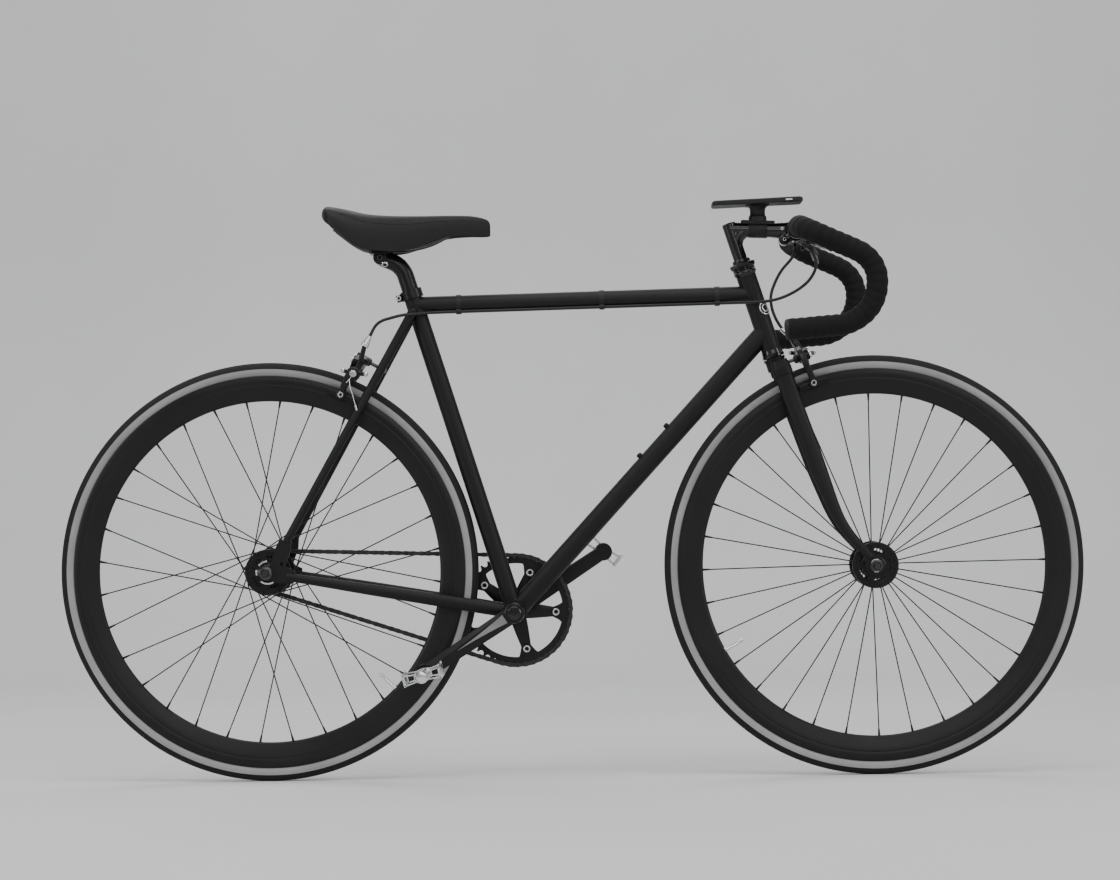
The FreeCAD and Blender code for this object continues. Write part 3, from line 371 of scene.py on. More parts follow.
def new_material(name):
    material = bpy.data.materials.new(name)
    material.use_nodes = True
    nodes, links = material.node_tree.nodes, material.node_tree.links
    shader = nodes["Principled BSDF"]
    place = nodes.new("ShaderNodeTexCoord")
    return material, nodes, links, shader, place.outputs["Object"]


def noise(nodes, links, place, scale, detail=4.0, roughness=0.55, stretch=None):
    texture = nodes.new("ShaderNodeTexNoise")
    texture.inputs["Scale"].default_value = scale
    texture.inputs["Detail"].default_value = detail
    texture.inputs["Roughness"].default_value = roughness
    if stretch:
        mapping = nodes.new("ShaderNodeMapping")
        mapping.inputs["Scale"].default_value = stretch
        links.new(place, mapping.inputs["Vector"])
        place = mapping.outputs["Vector"]
    links.new(place, texture.inputs["Vector"])
    return texture.outputs["Fac"]


def spread(nodes, links, value, low, high, from_low=0.3, from_high=0.7):
    """The value stretched to lie between low and high."""
    ramp = nodes.new("ShaderNodeMapRange")
    ramp.inputs["From Min"].default_value = from_low
    ramp.inputs["From Max"].default_value = from_high
    ramp.inputs["To Min"].default_value = low
    ramp.inputs["To Max"].default_value = high
    links.new(value, ramp.inputs["Value"])
    return ramp.outputs["Result"]


def tint(nodes, links, value, dark, light):
    """Colour between two greys or colours, by a value from 0 to 1."""
    mix = nodes.new("ShaderNodeMix")
    mix.data_type = "RGBA"
    mix.inputs[6].default_value = (*dark, 1)
    mix.inputs[7].default_value = (*light, 1)
    links.new(value, mix.inputs[0])
    return mix.outputs[2]


def bump(nodes, links, height, distance, strength=1.0, under=None):
    node = nodes.new("ShaderNodeBump")
    node.inputs["Distance"].default_value = distance
    node.inputs["Strength"].default_value = strength
    links.new(height, node.inputs["Height"])
    if under is not None:
        links.new(under, node.inputs["Normal"])
    return node.outputs["Normal"]


def grey(level, warmth=0.0):
    return (level * (1 + warmth), level, level * (1 - warmth))


def make_surface(
    name, dark, light, rough, metal=0.0, coat=0.0, coat_rough=0.1,
    blotch=30.0, grain=900.0, grain_depth=0.00004, stretch=None, shine=0.5,
):
    """General surface: blotchy colour and roughness, with a fine grain in its relief."""
    material, nodes, links, shader, place = new_material(name)
    patches = noise(nodes, links, place, blotch, 5.0)
    fine = noise(nodes, links, place, grain, 3.0, 0.6, stretch)
    links.new(tint(nodes, links, spread(nodes, links, patches, 0, 1), dark, light),
              shader.inputs["Base Color"])
    links.new(spread(nodes, links, patches, rough[0], rough[1]), shader.inputs["Roughness"])
    links.new(bump(nodes, links, fine, grain_depth), shader.inputs["Normal"])
    shader.inputs["Metallic"].default_value = metal
    shader.inputs["Specular IOR Level"].default_value = shine
    shader.inputs["Coat Weight"].default_value = coat
    shader.inputs["Coat Roughness"].default_value = coat_rough
    return material


def make_weave(name, dark, light, thread, rough, tilt=45.0):
    """Rubbered cloth: two families of threads that cross, as on a tyre's side wall."""
    material, nodes, links, shader, place = new_material(name)
    bands = []
    for sign in (-1, 1):
        mapping = nodes.new("ShaderNodeMapping")
        mapping.inputs["Rotation"].default_value = (0, math.radians(sign * tilt), 0)
        links.new(place, mapping.inputs["Vector"])
        wave = nodes.new("ShaderNodeTexWave")
        wave.inputs["Scale"].default_value = 1 / thread / 6.28
        wave.inputs["Distortion"].default_value = 0.6
        wave.inputs["Detail"].default_value = 1.0
        links.new(mapping.outputs["Vector"], wave.inputs["Vector"])
        bands.append(wave.outputs["Fac"])
    both = nodes.new("ShaderNodeMath")
    both.operation = "MULTIPLY"
    links.new(bands[0], both.inputs[0])
    links.new(bands[1], both.inputs[1])
    stains = noise(nodes, links, place, 9.0, 6.0, 0.65)
    colour = tint(nodes, links, spread(nodes, links, stains, 0, 1), dark, light)
    links.new(colour, shader.inputs["Base Color"])
    links.new(spread(nodes, links, stains, rough[0], rough[1]), shader.inputs["Roughness"])
    links.new(bump(nodes, links, both.outputs["Value"], 0.00012, 0.6), shader.inputs["Normal"])
    return material


def make_tread():
    """Tyre tread: fine diagonal file cuts and road dust."""
    material, nodes, links, shader, place = new_material("tyre_tread")
    cuts = nodes.new("ShaderNodeTexVoronoi")
    cuts.feature = "DISTANCE_TO_EDGE"
    cuts.inputs["Scale"].default_value = 420
    links.new(place, cuts.inputs["Vector"])
    dust = noise(nodes, links, place, 14.0, 8.0, 0.7)
    links.new(
        tint(nodes, links, spread(nodes, links, dust, 0, 1), grey(0.005), grey(0.012, 0.03)),
        shader.inputs["Base Color"],
    )
    links.new(spread(nodes, links, dust, 0.62, 0.84), shader.inputs["Roughness"])
    shader.inputs["Specular IOR Level"].default_value = 0.25
    edges = spread(nodes, links, cuts.outputs["Distance"], 0, 1, 0.0, 0.12)
    links.new(bump(nodes, links, edges, 0.00018, 0.7), shader.inputs["Normal"])
    return material


def make_grain_leather():
    """Saddle cover: pebbled grain with creases, a little polished in soft patches."""
    material, nodes, links, shader, place = new_material("saddle_cover")
    cells = nodes.new("ShaderNodeTexVoronoi")
    cells.feature = "SMOOTH_F1"
    cells.inputs["Scale"].default_value = 520
    links.new(place, cells.inputs["Vector"])
    wear = noise(nodes, links, place, 11.0, 6.0, 0.6)
    fine = noise(nodes, links, place, 1500.0, 2.0)
    links.new(
        tint(nodes, links, spread(nodes, links, wear, 0, 1), grey(0.0035), grey(0.0075)),
        shader.inputs["Base Color"],
    )
    links.new(spread(nodes, links, wear, 0.48, 0.66), shader.inputs["Roughness"])
    shader.inputs["Specular IOR Level"].default_value = 0.25
    pebble = bump(nodes, links, cells.outputs["Distance"], 0.00016, 0.5)
    links.new(bump(nodes, links, fine, 0.00003, 0.6, pebble), shader.inputs["Normal"])
    return material


def make_tape_cloth():
    """Cork bar tape: matt foam with small flecks and pores."""
    material, nodes, links, shader, place = new_material("bar_wrap")
    pores = nodes.new("ShaderNodeTexVoronoi")
    pores.inputs["Scale"].default_value = 700
    links.new(place, pores.inputs["Vector"])
    fleck = spread(nodes, links, pores.outputs["Distance"], 0, 1, 0.05, 0.45)
    soft = noise(nodes, links, place, 160.0, 6.0, 0.7)
    links.new(tint(nodes, links, spread(nodes, links, soft, 0, 1), grey(0.003), grey(0.008)),
              shader.inputs["Base Color"])
    links.new(spread(nodes, links, soft, 0.78, 0.95), shader.inputs["Roughness"])
    foam = bump(nodes, links, soft, 0.0004, 0.5)
    links.new(bump(nodes, links, fleck, 0.00012, 0.5, foam), shader.inputs["Normal"])
    shader.inputs["Sheen Weight"].default_value = 0.02
    shader.inputs["Specular IOR Level"].default_value = 0.2
    shader.inputs["Sheen Roughness"].default_value = 0.5
    return material


paint = make_surface("frame_paint", grey(0.0030), grey(0.0048), (0.46, 0.56), coat=0.03,
                     coat_rough=0.3, blotch=5.0, grain=420.0, grain_depth=0.00002, shine=0.24)
anodised = make_surface("black_metal", grey(0.0035), grey(0.0060), (0.26, 0.38), metal=0.1,
                        blotch=26.0, grain=1600.0, grain_depth=0.000015, shine=0.3)
polished_black = make_surface("polished_black", grey(0.0045), grey(0.0075), (0.14, 0.22), metal=0.2,
                              coat=0.25, coat_rough=0.06, blotch=20.0, grain=900.0,
                              grain_depth=0.00001, shine=0.4)
rim_black = make_surface("rim_black", grey(0.0040), grey(0.0062), (0.34, 0.46), metal=0.1,
                         blotch=7.0, grain=1200.0, grain_depth=0.000015, shine=0.3)
spoke_black = make_surface("spoke_black", grey(0.006), grey(0.010), (0.30, 0.4), metal=0.3,
                           blotch=40.0, grain=2000.0, grain_depth=0.00001, shine=0.3)
bright_steel = make_surface("steel", grey(0.62), grey(0.80), (0.16, 0.30), metal=1.0,
                            blotch=70.0, grain=900.0, grain_depth=0.00002, stretch=(1, 6, 1))
dark_steel = make_surface("dark_steel", grey(0.045), grey(0.075), (0.20, 0.32), metal=0.9,
                          blotch=60.0, grain=1100.0, grain_depth=0.00002)
# Lighter grey metal for the strip on each crank's outer face: a painted highlight.
crank_painted_highlight = make_surface("crank_painted_highlight", grey(0.20), grey(0.27), (0.28, 0.38), metal=0.6,
                           blotch=14.0, grain=1500.0, grain_depth=0.00001)
chain_steel = make_surface("chain_steel", grey(0.022, 0.05), grey(0.060, 0.06), (0.30, 0.48),
                           metal=0.85,
                           blotch=240.0, grain=1500.0, grain_depth=0.00002)
cage_metal = make_surface("pedal_metal", grey(0.66), grey(0.86), (0.18, 0.32), metal=1.0,
                          blotch=60.0, grain=1100.0, grain_depth=0.00003, stretch=(1, 5, 1))
plastic = make_surface("black_plastic", grey(0.005), grey(0.009), (0.45, 0.60),
                       blotch=60.0, grain=2400.0, grain_depth=0.00005, shine=0.3)
housing = make_surface("cable_housing", grey(0.006), grey(0.010), (0.36, 0.5), coat=0.1,
                       blotch=50.0, grain=900.0, grain_depth=0.00003, shine=0.3)
pad_rubber = make_surface("pad_rubber", grey(0.006), grey(0.012), (0.7, 0.88),
                          blotch=90.0, grain=1400.0, grain_depth=0.00006, shine=0.25)
screen_glass = make_surface("screen_glass", grey(0.003), grey(0.005), (0.05, 0.09), coat=1.0,
                            coat_rough=0.03, blotch=9.0, grain=60.0, grain_depth=0.000002)
# Near-black for the floors of bolt sockets and bores: painted shade.
painted_socket_shade = make_surface("socket_painted_shade", grey(0.003), grey(0.006), (0.6, 0.8), blotch=90.0,
                         shine=0.2)
skinwall = make_weave("tyre_wall", grey(0.20, 0.015), grey(0.29, 0.02), 0.0009, (0.55, 0.72))
tread = make_tread()
leather = make_grain_leather()
wrap = make_tape_cloth()

SLOT_MATERIALS = {
    "frame_paint": paint, "black_metal": anodised, "rim_black": rim_black,
    "spoke_black": spoke_black,
    "tyre_rubber": tread, "saddle_cover": leather, "bar_wrap": wrap, "black_plastic": plastic,
    "cable_housing": housing, "pad_rubber": pad_rubber, "steel": bright_steel,
    "chain_steel": chain_steel, "pedal_metal": cage_metal,
}


def dress_frame_nodes():
    """Every CAD node gets the material of its own slot in the record."""
    for row in frame["record"]["subparts"]:
        node = frame["nodes"][row["node"]]
        node.data.materials.clear()
        dark = row["node"] in ("saddle_rails", "front_axle", "rear_axle")
        material = dark_steel if dark else SLOT_MATERIALS[row["material_slot"]]
        node.data.materials.append(material)


# ---------------------------------------------------------------- wheels

TYRE_RADIUS = 336 * MM
TYRE_HALF = 12.5 * MM
RIM_OUTER = 314 * MM
RIM_INNER = 274 * MM
TREAD_EDGE_DEG = 80
BEAD_DEG = 139.5
AROUND = 240


def make_tyre(side):
    """Tyre with a black tread over grey cloth walls, its tread standing a little proud."""
    hub = front_hub if side == "front" else rear_hub
    crown = TYRE_RADIUS - TYRE_HALF
    tread_rings = []
    steps = 44
    for step in range(-steps, steps + 1):
        degrees = BEAD_DEG * step / steps
        angle = math.radians(degrees)
        if abs(degrees) <= TREAD_EDGE_DEG:
            groove = 0.35 * MM if 9 < abs(degrees) < 13 or 21 < abs(degrees) < 24 else 0.0
            half = TYRE_HALF - groove
        else:
            half = TYRE_HALF - 0.45 * MM
        tread_rings.append((crown + half * math.cos(angle), half * math.sin(angle), abs(degrees)))
    shape = Shape()
    edge = [row for row in tread_rings if row[2] <= TREAD_EDGE_DEG]
    left = [row for row in tread_rings if row[1] < 0 and row[2] > TREAD_EDGE_DEG]
    right = [row for row in tread_rings if row[1] > 0 and row[2] > TREAD_EDGE_DEG]
    wall = [left + edge[:1], edge[-1:] + right]
    steps_round = AROUND
    add_band(shape, [(r, y) for r, y, _ in edge], hub, steps_round, 0)
    for rows in wall:
        add_band(shape, [(r, y) for r, y, _ in rows], hub, steps_round, 1)
    seat = [(left[0][0], left[0][1]), (RIM_OUTER - 1 * MM, -7 * MM), (RIM_OUTER - 1 * MM, 7 * MM),
            (right[-1][0], right[-1][1])]
    add_band(shape, seat, hub, steps_round, 0)
    return shape.piece(side + "_tyre_rubber", side + "_wheel", [tread, skinwall],
                       [side + "_tyre"], sharp=50)


def add_band(shape, profile, hub, steps, slot):
    """Turned skin about a wheel's axle from (radius, sideways) points, open at both ends."""
    rings = []
    for radius, side in profile:
        ring = []
        for step in range(steps):
            out = heading(360 * step / steps)
            ring.append(hub + out * radius + LEFT * side)
        rings.append(ring)
    shape.rings(rings, slot, caps=False)


def rim_half_profile():
    """Rim section from the bead down to the spoke bed, as (radius, half width)."""
    points = [(314.6, 8.2), (314.6, 9.6), (314.0, 10.0), (300.6, 10.0), (300.0, 9.7), (299.4, 9.9)]
    steps = 9
    for step in range(1, steps + 1):
        share = step / steps
        radius = 299.4 - (299.4 - 276.5) * share
        width = 9.9 - (9.9 - 4.4) * share**1.35
        points.append((radius, width))
    points += [(275.2, 3.3), (274.3, 1.8), (274.0, 0.6)]
    return in_mm(*points)


def make_rim(side, valve_deg):
    """Deep black rim, with its valve."""
    hub = front_hub if side == "front" else rear_hub
    half = rim_half_profile()
    profile = [(radius, width) for radius, width in half]
    profile += [(radius, -width) for radius, width in reversed(half)]
    shape = Shape()
    add_band(shape, profile + profile[:1], hub, AROUND, 0)
    shape.piece(side + "_rim_shell", side + "_wheel", [rim_black], [side + "_rim"],
                sharp=40)
    make_valve(side, hub, valve_deg)


def make_valve(side, hub, valve_deg):
    """Thin threaded valve with its lock ring and its bright cap."""
    out = heading(valve_deg)
    foot = hub + out * (RIM_INNER + 1 * MM)
    shape = Shape()
    profile = in_mm((4.6, 0), (4.6, 2.6), (3.0, 3.0))
    turns = 22
    for turn in range(turns):
        place = (3.4 + turn * 0.9) * MM
        profile += [(3.0 * MM, place), (2.75 * MM, place + 0.45 * MM)]
    profile += in_mm((2.9, 23.6), (2.2, 24.2), (2.2, 27), (3.1, 27.6), (3.1, 31.5), (1.6, 32.2),
                     (1.6, 34.8), (0.6, 35.2))
    shape.lathe(profile, foot, -out, 18)
    shape.piece(side + "_valve", side + "_wheel", [bright_steel])


def spoke_ends(hub, count, spacing, crossing_deg, valve_deg):
    """Hub end and rim end of each spoke, as the frame's spokes are laced."""
    ends = []
    pitch = 360 / count
    lacing = 1 if crossing_deg else 0
    for index in range(count):
        side = 1 if index % 2 else -1
        lean = 1 if (index // 2) % 2 else -1
        rim_angle = valve_deg + pitch * (index + 0.5)
        hub_angle = rim_angle + lean * crossing_deg
        hub_side = (side * spacing / 2 + lean * lacing * 3.2) * MM
        rim_side = (side * 1.6 + lean * lacing * 1.3) * MM
        start = hub + heading(hub_angle) * (36.7 * MM) + LEFT * hub_side
        end = hub + heading(rim_angle) * (273.9 * MM) + LEFT * rim_side
        ends.append((start, end))
    return ends


def make_nipples(side, count, spacing, crossing_deg, valve_deg):
    """Nipples at the rim and the hooked spoke heads at the hub's flanges."""
    hub = front_hub if side == "front" else rear_hub
    shape = Shape()
    for start, end in spoke_ends(hub, count, spacing, crossing_deg, valve_deg):
        run = (end - start).normalized()
        shape.rod(end - run * (11 * MM), end + run * (1.5 * MM), 1.35 * MM, 2.1 * MM, steps=10)
        inward = (hub - start)
        inward.y = 0
        inward.normalize()
        hole = start + inward * (3.6 * MM)
        shape.tube([start + run * (2 * MM), start, hole], 1.15 * MM, steps=8)
        sign = 1 if (start - hub).y > 0 else -1
        shape.lathe(
            in_mm((2.0, -2.4), (2.0, 2.6), (1.4, 3.4), (0.3, 3.7)),
            hole, LEFT * sign, 10,
        )
    shape.piece(side + "_nipples", side + "_wheel", [spoke_black])


def painted_glint_arcs(shape, hub, spans, radius, depth, half_wide, half_thick):
    """Flat arcs of bright metal on a hub's right face, each between two headings in degrees: painted glints where
    the edges catch the light.
    """
    for first, last in spans:
        arc = [hub + heading(first + (last - first) * step / 8) * radius for step in range(9)]
        arc = [point - LEFT * depth for point in arc]
        shape.ribbon(arc, [half_wide] * 9, [half_thick] * 9, -LEFT, slot=1)


def make_axle_nuts(name, hub, half_width, body):
    """Washer, flanged hexagon nut and the threaded axle end on both sides."""
    shape = Shape()
    for sign in (-1, 1):
        out = LEFT * sign
        face = hub + out * half_width
        shape.lathe(
            in_mm((9.6, 0.2), (10.6, 0.5), (10.6, 1.6), (9.8, 2.0)),
            face, out, 36,
        )
        shape.nut(face + out * (1.8 * MM), out, 16.6 * MM, 7.2 * MM, bevel=0.7 * MM, phase=0.3)
        shape.lathe(in_mm((6.6, 8.8), (6.0, 9.4), (5.4, 9.2)), face, out, 30)
    # Bright arcs by the front nut's edge: painted glints.
    if body == "steering":
        painted_glint_arcs(shape, hub, ((70, 150), (245, 285)), radius=9.9 * MM,
                    depth=half_width + 2.2 * MM, half_wide=0.6 * MM, half_thick=0.3 * MM)
    shape.piece(name, body, [dark_steel, bright_steel])


def make_hub_details(side, hub, half_flange, half_end, body):
    """Polished caps and lock nuts between the hub shell and the frame's ends."""
    shape = Shape()
    for sign in (-1, 1):
        out = LEFT * sign
        base = hub + out * half_end
        shape.lathe(
            in_mm((13.2, -10), (13.4, -4), (12.6, -2.4), (10.2, -1.2), (10.0, -0.4)), base, out, 40,
        )
        ring = hub + out * half_flange
        profile = []
        for step in range(13):
            angle = math.pi * step / 12
            profile.append((36.0 * MM + 1.1 * MM * math.sin(angle), (2.4 - 4.8 * step / 12) * MM))
        shape.lathe(profile, ring, out, 72, closed=True)
    # Bright arcs on the rear hub's right face: painted highlights where its edges catch the light.
    if side == "rear":
        painted_glint_arcs(shape, hub, ((92, 142), (166, 194), (232, 300), (330, 372)), radius=17.6 * MM,
                    depth=half_flange + 4.6 * MM, half_wide=1.6 * MM, half_thick=0.8 * MM)
    shape.piece(side + "_hub_rings", body, [polished_black, bright_steel])


# ---------------------------------------------------------------- chain drive

CHAIN_LINE = 45 * MM
CHAIN_PITCH = 12.7 * MM
RING_TEETH = 44
COG_TEETH = 16
LINKS = 94
ring_radius = CHAIN_PITCH / 2 / math.sin(math.pi / RING_TEETH)
cog_radius = CHAIN_PITCH / 2 / math.sin(math.pi / COG_TEETH)
CRANK_ANGLE = 213.0
BOLT_CIRCLE = 65 * MM


def chain_places():
    """Place and direction of each chain pin round the loop."""
    run = crank_centre - rear_hub
    slope = math.atan2(run.z, run.x)
    lean = math.asin((ring_radius - cog_radius) / run.length)
    straight = run.length * math.cos(lean)
    wrap_big = (math.pi + 2 * lean) * ring_radius
    wrap_small = (math.pi - 2 * lean) * cog_radius
    total = 2 * straight + wrap_big + wrap_small
    upper = slope + lean + math.pi / 2
    lower = slope - lean - math.pi / 2
    top_back = rear_hub + heading(math.degrees(upper)) * cog_radius
    low_front = crank_centre + heading(math.degrees(lower)) * ring_radius
    along_top = heading(math.degrees(slope + lean))
    along_low = heading(math.degrees(slope - lean + math.pi))
    places = []
    for link in range(LINKS):
        gone = total * link / LINKS
        if gone < straight:
            places.append((top_back + along_top * gone, along_top))
            continue
        gone -= straight
        if gone < wrap_big:
            angle = math.degrees(upper - gone / ring_radius)
            places.append((crank_centre + heading(angle) * ring_radius, heading(angle - 90)))
            continue
        gone -= wrap_big
        if gone < straight:
            places.append((low_front + along_low * gone, along_low))
            continue
        angle = math.degrees(lower - (gone - straight) / cog_radius)
        places.append((rear_hub + heading(angle) * cog_radius, heading(angle - 90)))
    return [(place + LEFT * CHAIN_LINE, direction) for place, direction in places]


def link_outline(length, half_end, half_waist):
    """Side plate outline: two round ends joined by a waist."""
    points = []
    for end, first in ((length / 2, -60), (-length / 2, 120)):
        for step in range(6):
            angle = math.radians(first + 24 * step)
            points.append((end + half_end * math.cos(angle), half_end * math.sin(angle)))
        sign = 1 if end > 0 else -1
        points.append((0.0, sign * half_waist))
    return points


def make_chain():
    """Bushed roller chain, its inner and outer links by turns."""
    places = chain_places()
    shape = Shape()
    for index, (place, _) in enumerate(places):
        after = places[(index + 1) % LINKS][0]
        middle = (place + after) / 2
        run = (after - place).normalized()
        up = LEFT.cross(run) * -1
        outer = index % 2 == 0
        near, far = (3.0, 3.85) if outer else (1.95, 2.8)
        outline = link_outline((after - place).length, 4.15 * MM, (2.9 if outer else 3.3) * MM)
        for sign in (-1, 1):
            shape.slab(outline, middle, run, up, LEFT * sign, near * MM, far * MM, bevel=0.15 * MM)
        shape.rod(place - LEFT * (1.9 * MM), place + LEFT * (1.9 * MM), 3.85 * MM, steps=14,
                  bevel=0.25 * MM)
        shape.rod(place - LEFT * (4.15 * MM), place + LEFT * (4.15 * MM), 1.8 * MM, steps=10,
                  bevel=0.3 * MM)
    shape.piece("chain_links", "frame", [chain_steel], ["chain"], sharp=30)


def gear_outline(teeth, pitch_radius, tip, phase):
    """Toothed outline: round seats for the rollers with blunt teeth between them."""
    outline = []
    seat = 4.0 * MM
    for tooth in range(teeth):
        angle = phase + 360 * tooth / teeth
        centre = heading(angle) * pitch_radius
        for turn in (-74, -40, 0, 40, 74):
            point = centre - heading(angle - turn) * seat
            outline.append(point)
        half = 180 / teeth
        blunt = 1.1 * MM / pitch_radius * 180 / math.pi
        outline.append(heading(angle + half - blunt) * (pitch_radius + tip))
        outline.append(heading(angle + half + blunt) * (pitch_radius + tip))
    return outline


def nearest_pin_angle(centre, towards):
    """Angle about a chain wheel of the chain pin nearest to a direction."""
    best = min(chain_places(), key=lambda row: ((row[0] - LEFT * CHAIN_LINE) - towards).length)
    arm = best[0] - centre
    return math.degrees(math.atan2(arm.z, arm.x))


def ring_from(outline, inner_radius_at, centre, low, high, shape, slot=0):
    """Flat ring between a toothed outline and an inner edge given by the angle."""
    inner = []
    for point in outline:
        angle = math.degrees(math.atan2(point.z, point.x))
        inner.append(heading(angle) * inner_radius_at(angle))
    chamfer = 0.35 * MM
    shrink = 0.994
    rings = []
    for points, scale, height in (
        (outline, shrink, low), (outline, 1, low + chamfer), (outline, 1, high - chamfer),
        (outline, shrink, high), (inner, 1.004, high), (inner, 1, high - chamfer),
        (inner, 1, low + chamfer), (inner, 1.004, low),
    ):
        rings.append([centre + point * scale + LEFT * height for point in points])
    shape.rings(rings, slot, closed=True)


def spider_angle(index):
    return CRANK_ANGLE + 180 - 36 + 72 * index


def chainring_inner(angle):
    """Inner edge of the chainring, which reaches in to a lug at each bolt."""
    near = min(abs((angle - spider_angle(index) + 180) % 360 - 180) for index in range(5))
    reach = max(0.0, min(1.0, (12.5 - near) / 6.5))
    smooth = reach * reach * (3 - 2 * reach)
    return (76 - 18.5 * smooth) * MM


def make_chain_wheels():
    """Chainring with its bolts, and the freewheel with its slotted face."""
    phase = nearest_pin_angle(crank_centre, crank_centre + AHEAD * ring_radius)
    shape = Shape()
    outline = gear_outline(RING_TEETH, ring_radius, 2.6 * MM, phase)
    ring_from(outline, chainring_inner, crank_centre, CHAIN_LINE - 1.1 * MM, CHAIN_LINE + 1.1 * MM,
              shape)
    shape.piece("chainring_plate", "crankset", [anodised], ["chainring"], sharp=30)
    bolts = Shape()
    for index in range(5):
        at = crank_centre + heading(spider_angle(index)) * BOLT_CIRCLE
        inner = at + LEFT * (CHAIN_LINE - 1.0 * MM)
        bolts.lathe(
            in_mm((5.9, -0.2), (5.9, 1.4), (5.4, 2.0), (3.9, 2.0), (3.5, 1.6), (3.5, 0.2),
                  (0, 0.2)), inner, -LEFT, 30,
        )
        # Dark disc in the nut's bore: painted shade.
        bolts.lathe(in_mm((3.3, 0.3), (3.1, 0.5), (0, 0.5)), inner, -LEFT, 24, slot=1)
        outer = at + LEFT * (CHAIN_LINE + 5.5 * MM)
        bolts.cap_bolt(outer, LEFT, 5.4 * MM, 2.2 * MM, socket_shade_slot=1)
    bolts.piece("chainring_bolts", "crankset", [bright_steel, painted_socket_shade])
    phase = nearest_pin_angle(rear_hub, rear_hub - AHEAD * cog_radius)
    cog = Shape()
    outline = gear_outline(COG_TEETH, cog_radius, 2.4 * MM, phase)
    ring_from(outline, lambda angle: 22 * MM, rear_hub, CHAIN_LINE - 1.1 * MM,
              CHAIN_LINE + 1.1 * MM, cog)
    cog.lathe(
        in_mm((24, -4.5), (24, 5.0), (23, 6.0), (19.5, 6.0), (19.0, 5.2), (12.5, 5.2), (12.0, 6.0),
              (10.3, 6.0), (10.3, -4.5)), rear_hub + LEFT * CHAIN_LINE, LEFT, 48, closed=True,
    )
    for index in range(4):
        at = rear_hub + heading(45 + 90 * index) * (16 * MM) + LEFT * (CHAIN_LINE + 4.6 * MM)
        cog.cap_bolt(at, LEFT, 1.6 * MM, 1.0 * MM)
    cog.piece("freewheel_cog", "freewheel", [chain_steel], ["sprocket"], sharp=30)


# ---------------------------------------------------------------- cranks and pedals

CRANK_INNER = 52 * MM
CRANK_THICK = 13 * MM
CRANK_LENGTH = 170 * MM


def make_crank(side):
    """Forged arm that narrows to the pedal, with a flat outer face that carries a lighter strip as a painted
    highlight.
    """
    degrees = CRANK_ANGLE if side < 0 else CRANK_ANGLE + 180
    along = heading(degrees)
    up = heading(degrees + 90)
    if up.z < 0:
        up = -up
    out = LEFT * side
    low = CRANK_INNER
    shape = Shape()
    stations = 14
    rings = []
    for station in range(stations + 1):
        share = station / stations
        reach = (6 + (CRANK_LENGTH / MM - 12) * share) * MM
        half = (13.8 - 2.4 * share) * MM
        face = (8.2 - 6.2 * min(share * 1.15, 1.0)) * MM
        thick = (CRANK_THICK / MM - 1.6 * math.sin(math.pi * share)) * MM
        middle = crank_centre + along * reach + out * low
        ridge_high, ridge_low = thick - 0.6 * MM, thick
        rings.append([
            middle + up * (half - 2 * MM), middle + up * half + out * (2 * MM),
            middle + up * half + out * (thick * 0.52),
            middle + up * (face + 0.8 * MM) + out * ridge_high,
            middle - up * (face * 0.9) + out * ridge_low,
            middle - up * half + out * (thick * 0.56), middle - up * half + out * (2 * MM),
            middle - up * (half - 2 * MM),
        ])
    shape.rings(rings, 0)
    # Lighter strip laid just proud of the outer face, tapering from the boss towards the pedal: a painted
    # highlight, not a separate part.
    highlight_strip = []
    for row in range(1, 10):
        high, low_edge = rings[row][3], rings[row][4]
        taper = 0.5 * ((row - 1) / 8) ** 0.9 * 0.96
        for share in (taper, 1 - taper):
            highlight_strip.append(high.lerp(low_edge, share) + out * (0.08 * MM))
    faces = [[2 * row, 2 * row + 1, 2 * row + 3, 2 * row + 2] for row in range(len(highlight_strip) // 2 - 1)]
    shape.add(highlight_strip, faces, 2)
    boss = crank_centre + out * low
    shape.lathe(
        in_mm((15.5, 0), (16.5, 1.2), (16.5, 10), (15.6, 12.6), (13.6, 13.6), (11.6, 13.6),
              (11.2, 13.0)), boss, out, 48,
    )
    shape.lathe(
        in_mm((11.2, 12.4), (11.0, 13.8), (9.8, 14.6), (3.6, 15.0), (3.4, 14.2), (0, 14.2)), boss,
        out, 40, slot=1,
    )
    tip = crank_centre + along * CRANK_LENGTH + out * low
    shape.lathe(
        in_mm((12.6, 0.4), (14.4, 1.4), (14.4, 10.6), (13.0, 12.2), (8.0, 12.4)), tip, out, 40,
    )
    replaced = ["crank_left"] if side > 0 else ["crank_right"]
    if side > 0:
        add_spider(shape)
    name = "crank_arm_left" if side > 0 else "crank_arm_right"
    shape.piece(name, "crankset", [anodised, polished_black, crank_painted_highlight], replaced,
                sharp=24)


def add_spider(shape):
    """Five arms from the left crank's boss out to the chainring bolts."""
    low = CHAIN_LINE + 1.2 * MM
    shape.lathe(
        in_mm((19, 0), (22, 1), (22, 6), (18, 8.6), (15, 9)),
        crank_centre + LEFT * low, LEFT, 48,
    )
    for index in range(5):
        out = heading(spider_angle(index))
        points, widths, thick = [], [], []
        for share in (0.0, 0.25, 0.5, 0.75, 0.93, 1.06, 1.12):
            points.append(crank_centre + out * (BOLT_CIRCLE * (0.2 + 0.8 * share))
                          + LEFT * (low + 2.4 * MM))
            widths.append((13.0 - 13.0 * share + 7.4 * share**0.8 if share < 1 else 6.4
                           - 30 * (share - 1)) * MM)
            thick.append((3.4 - 1.1 * share) * MM)
        shape.ribbon(points, widths, thick, LEFT, round_share=0.5)


PEDAL_TILTS = {-1: 14.0, 1: -38.0}


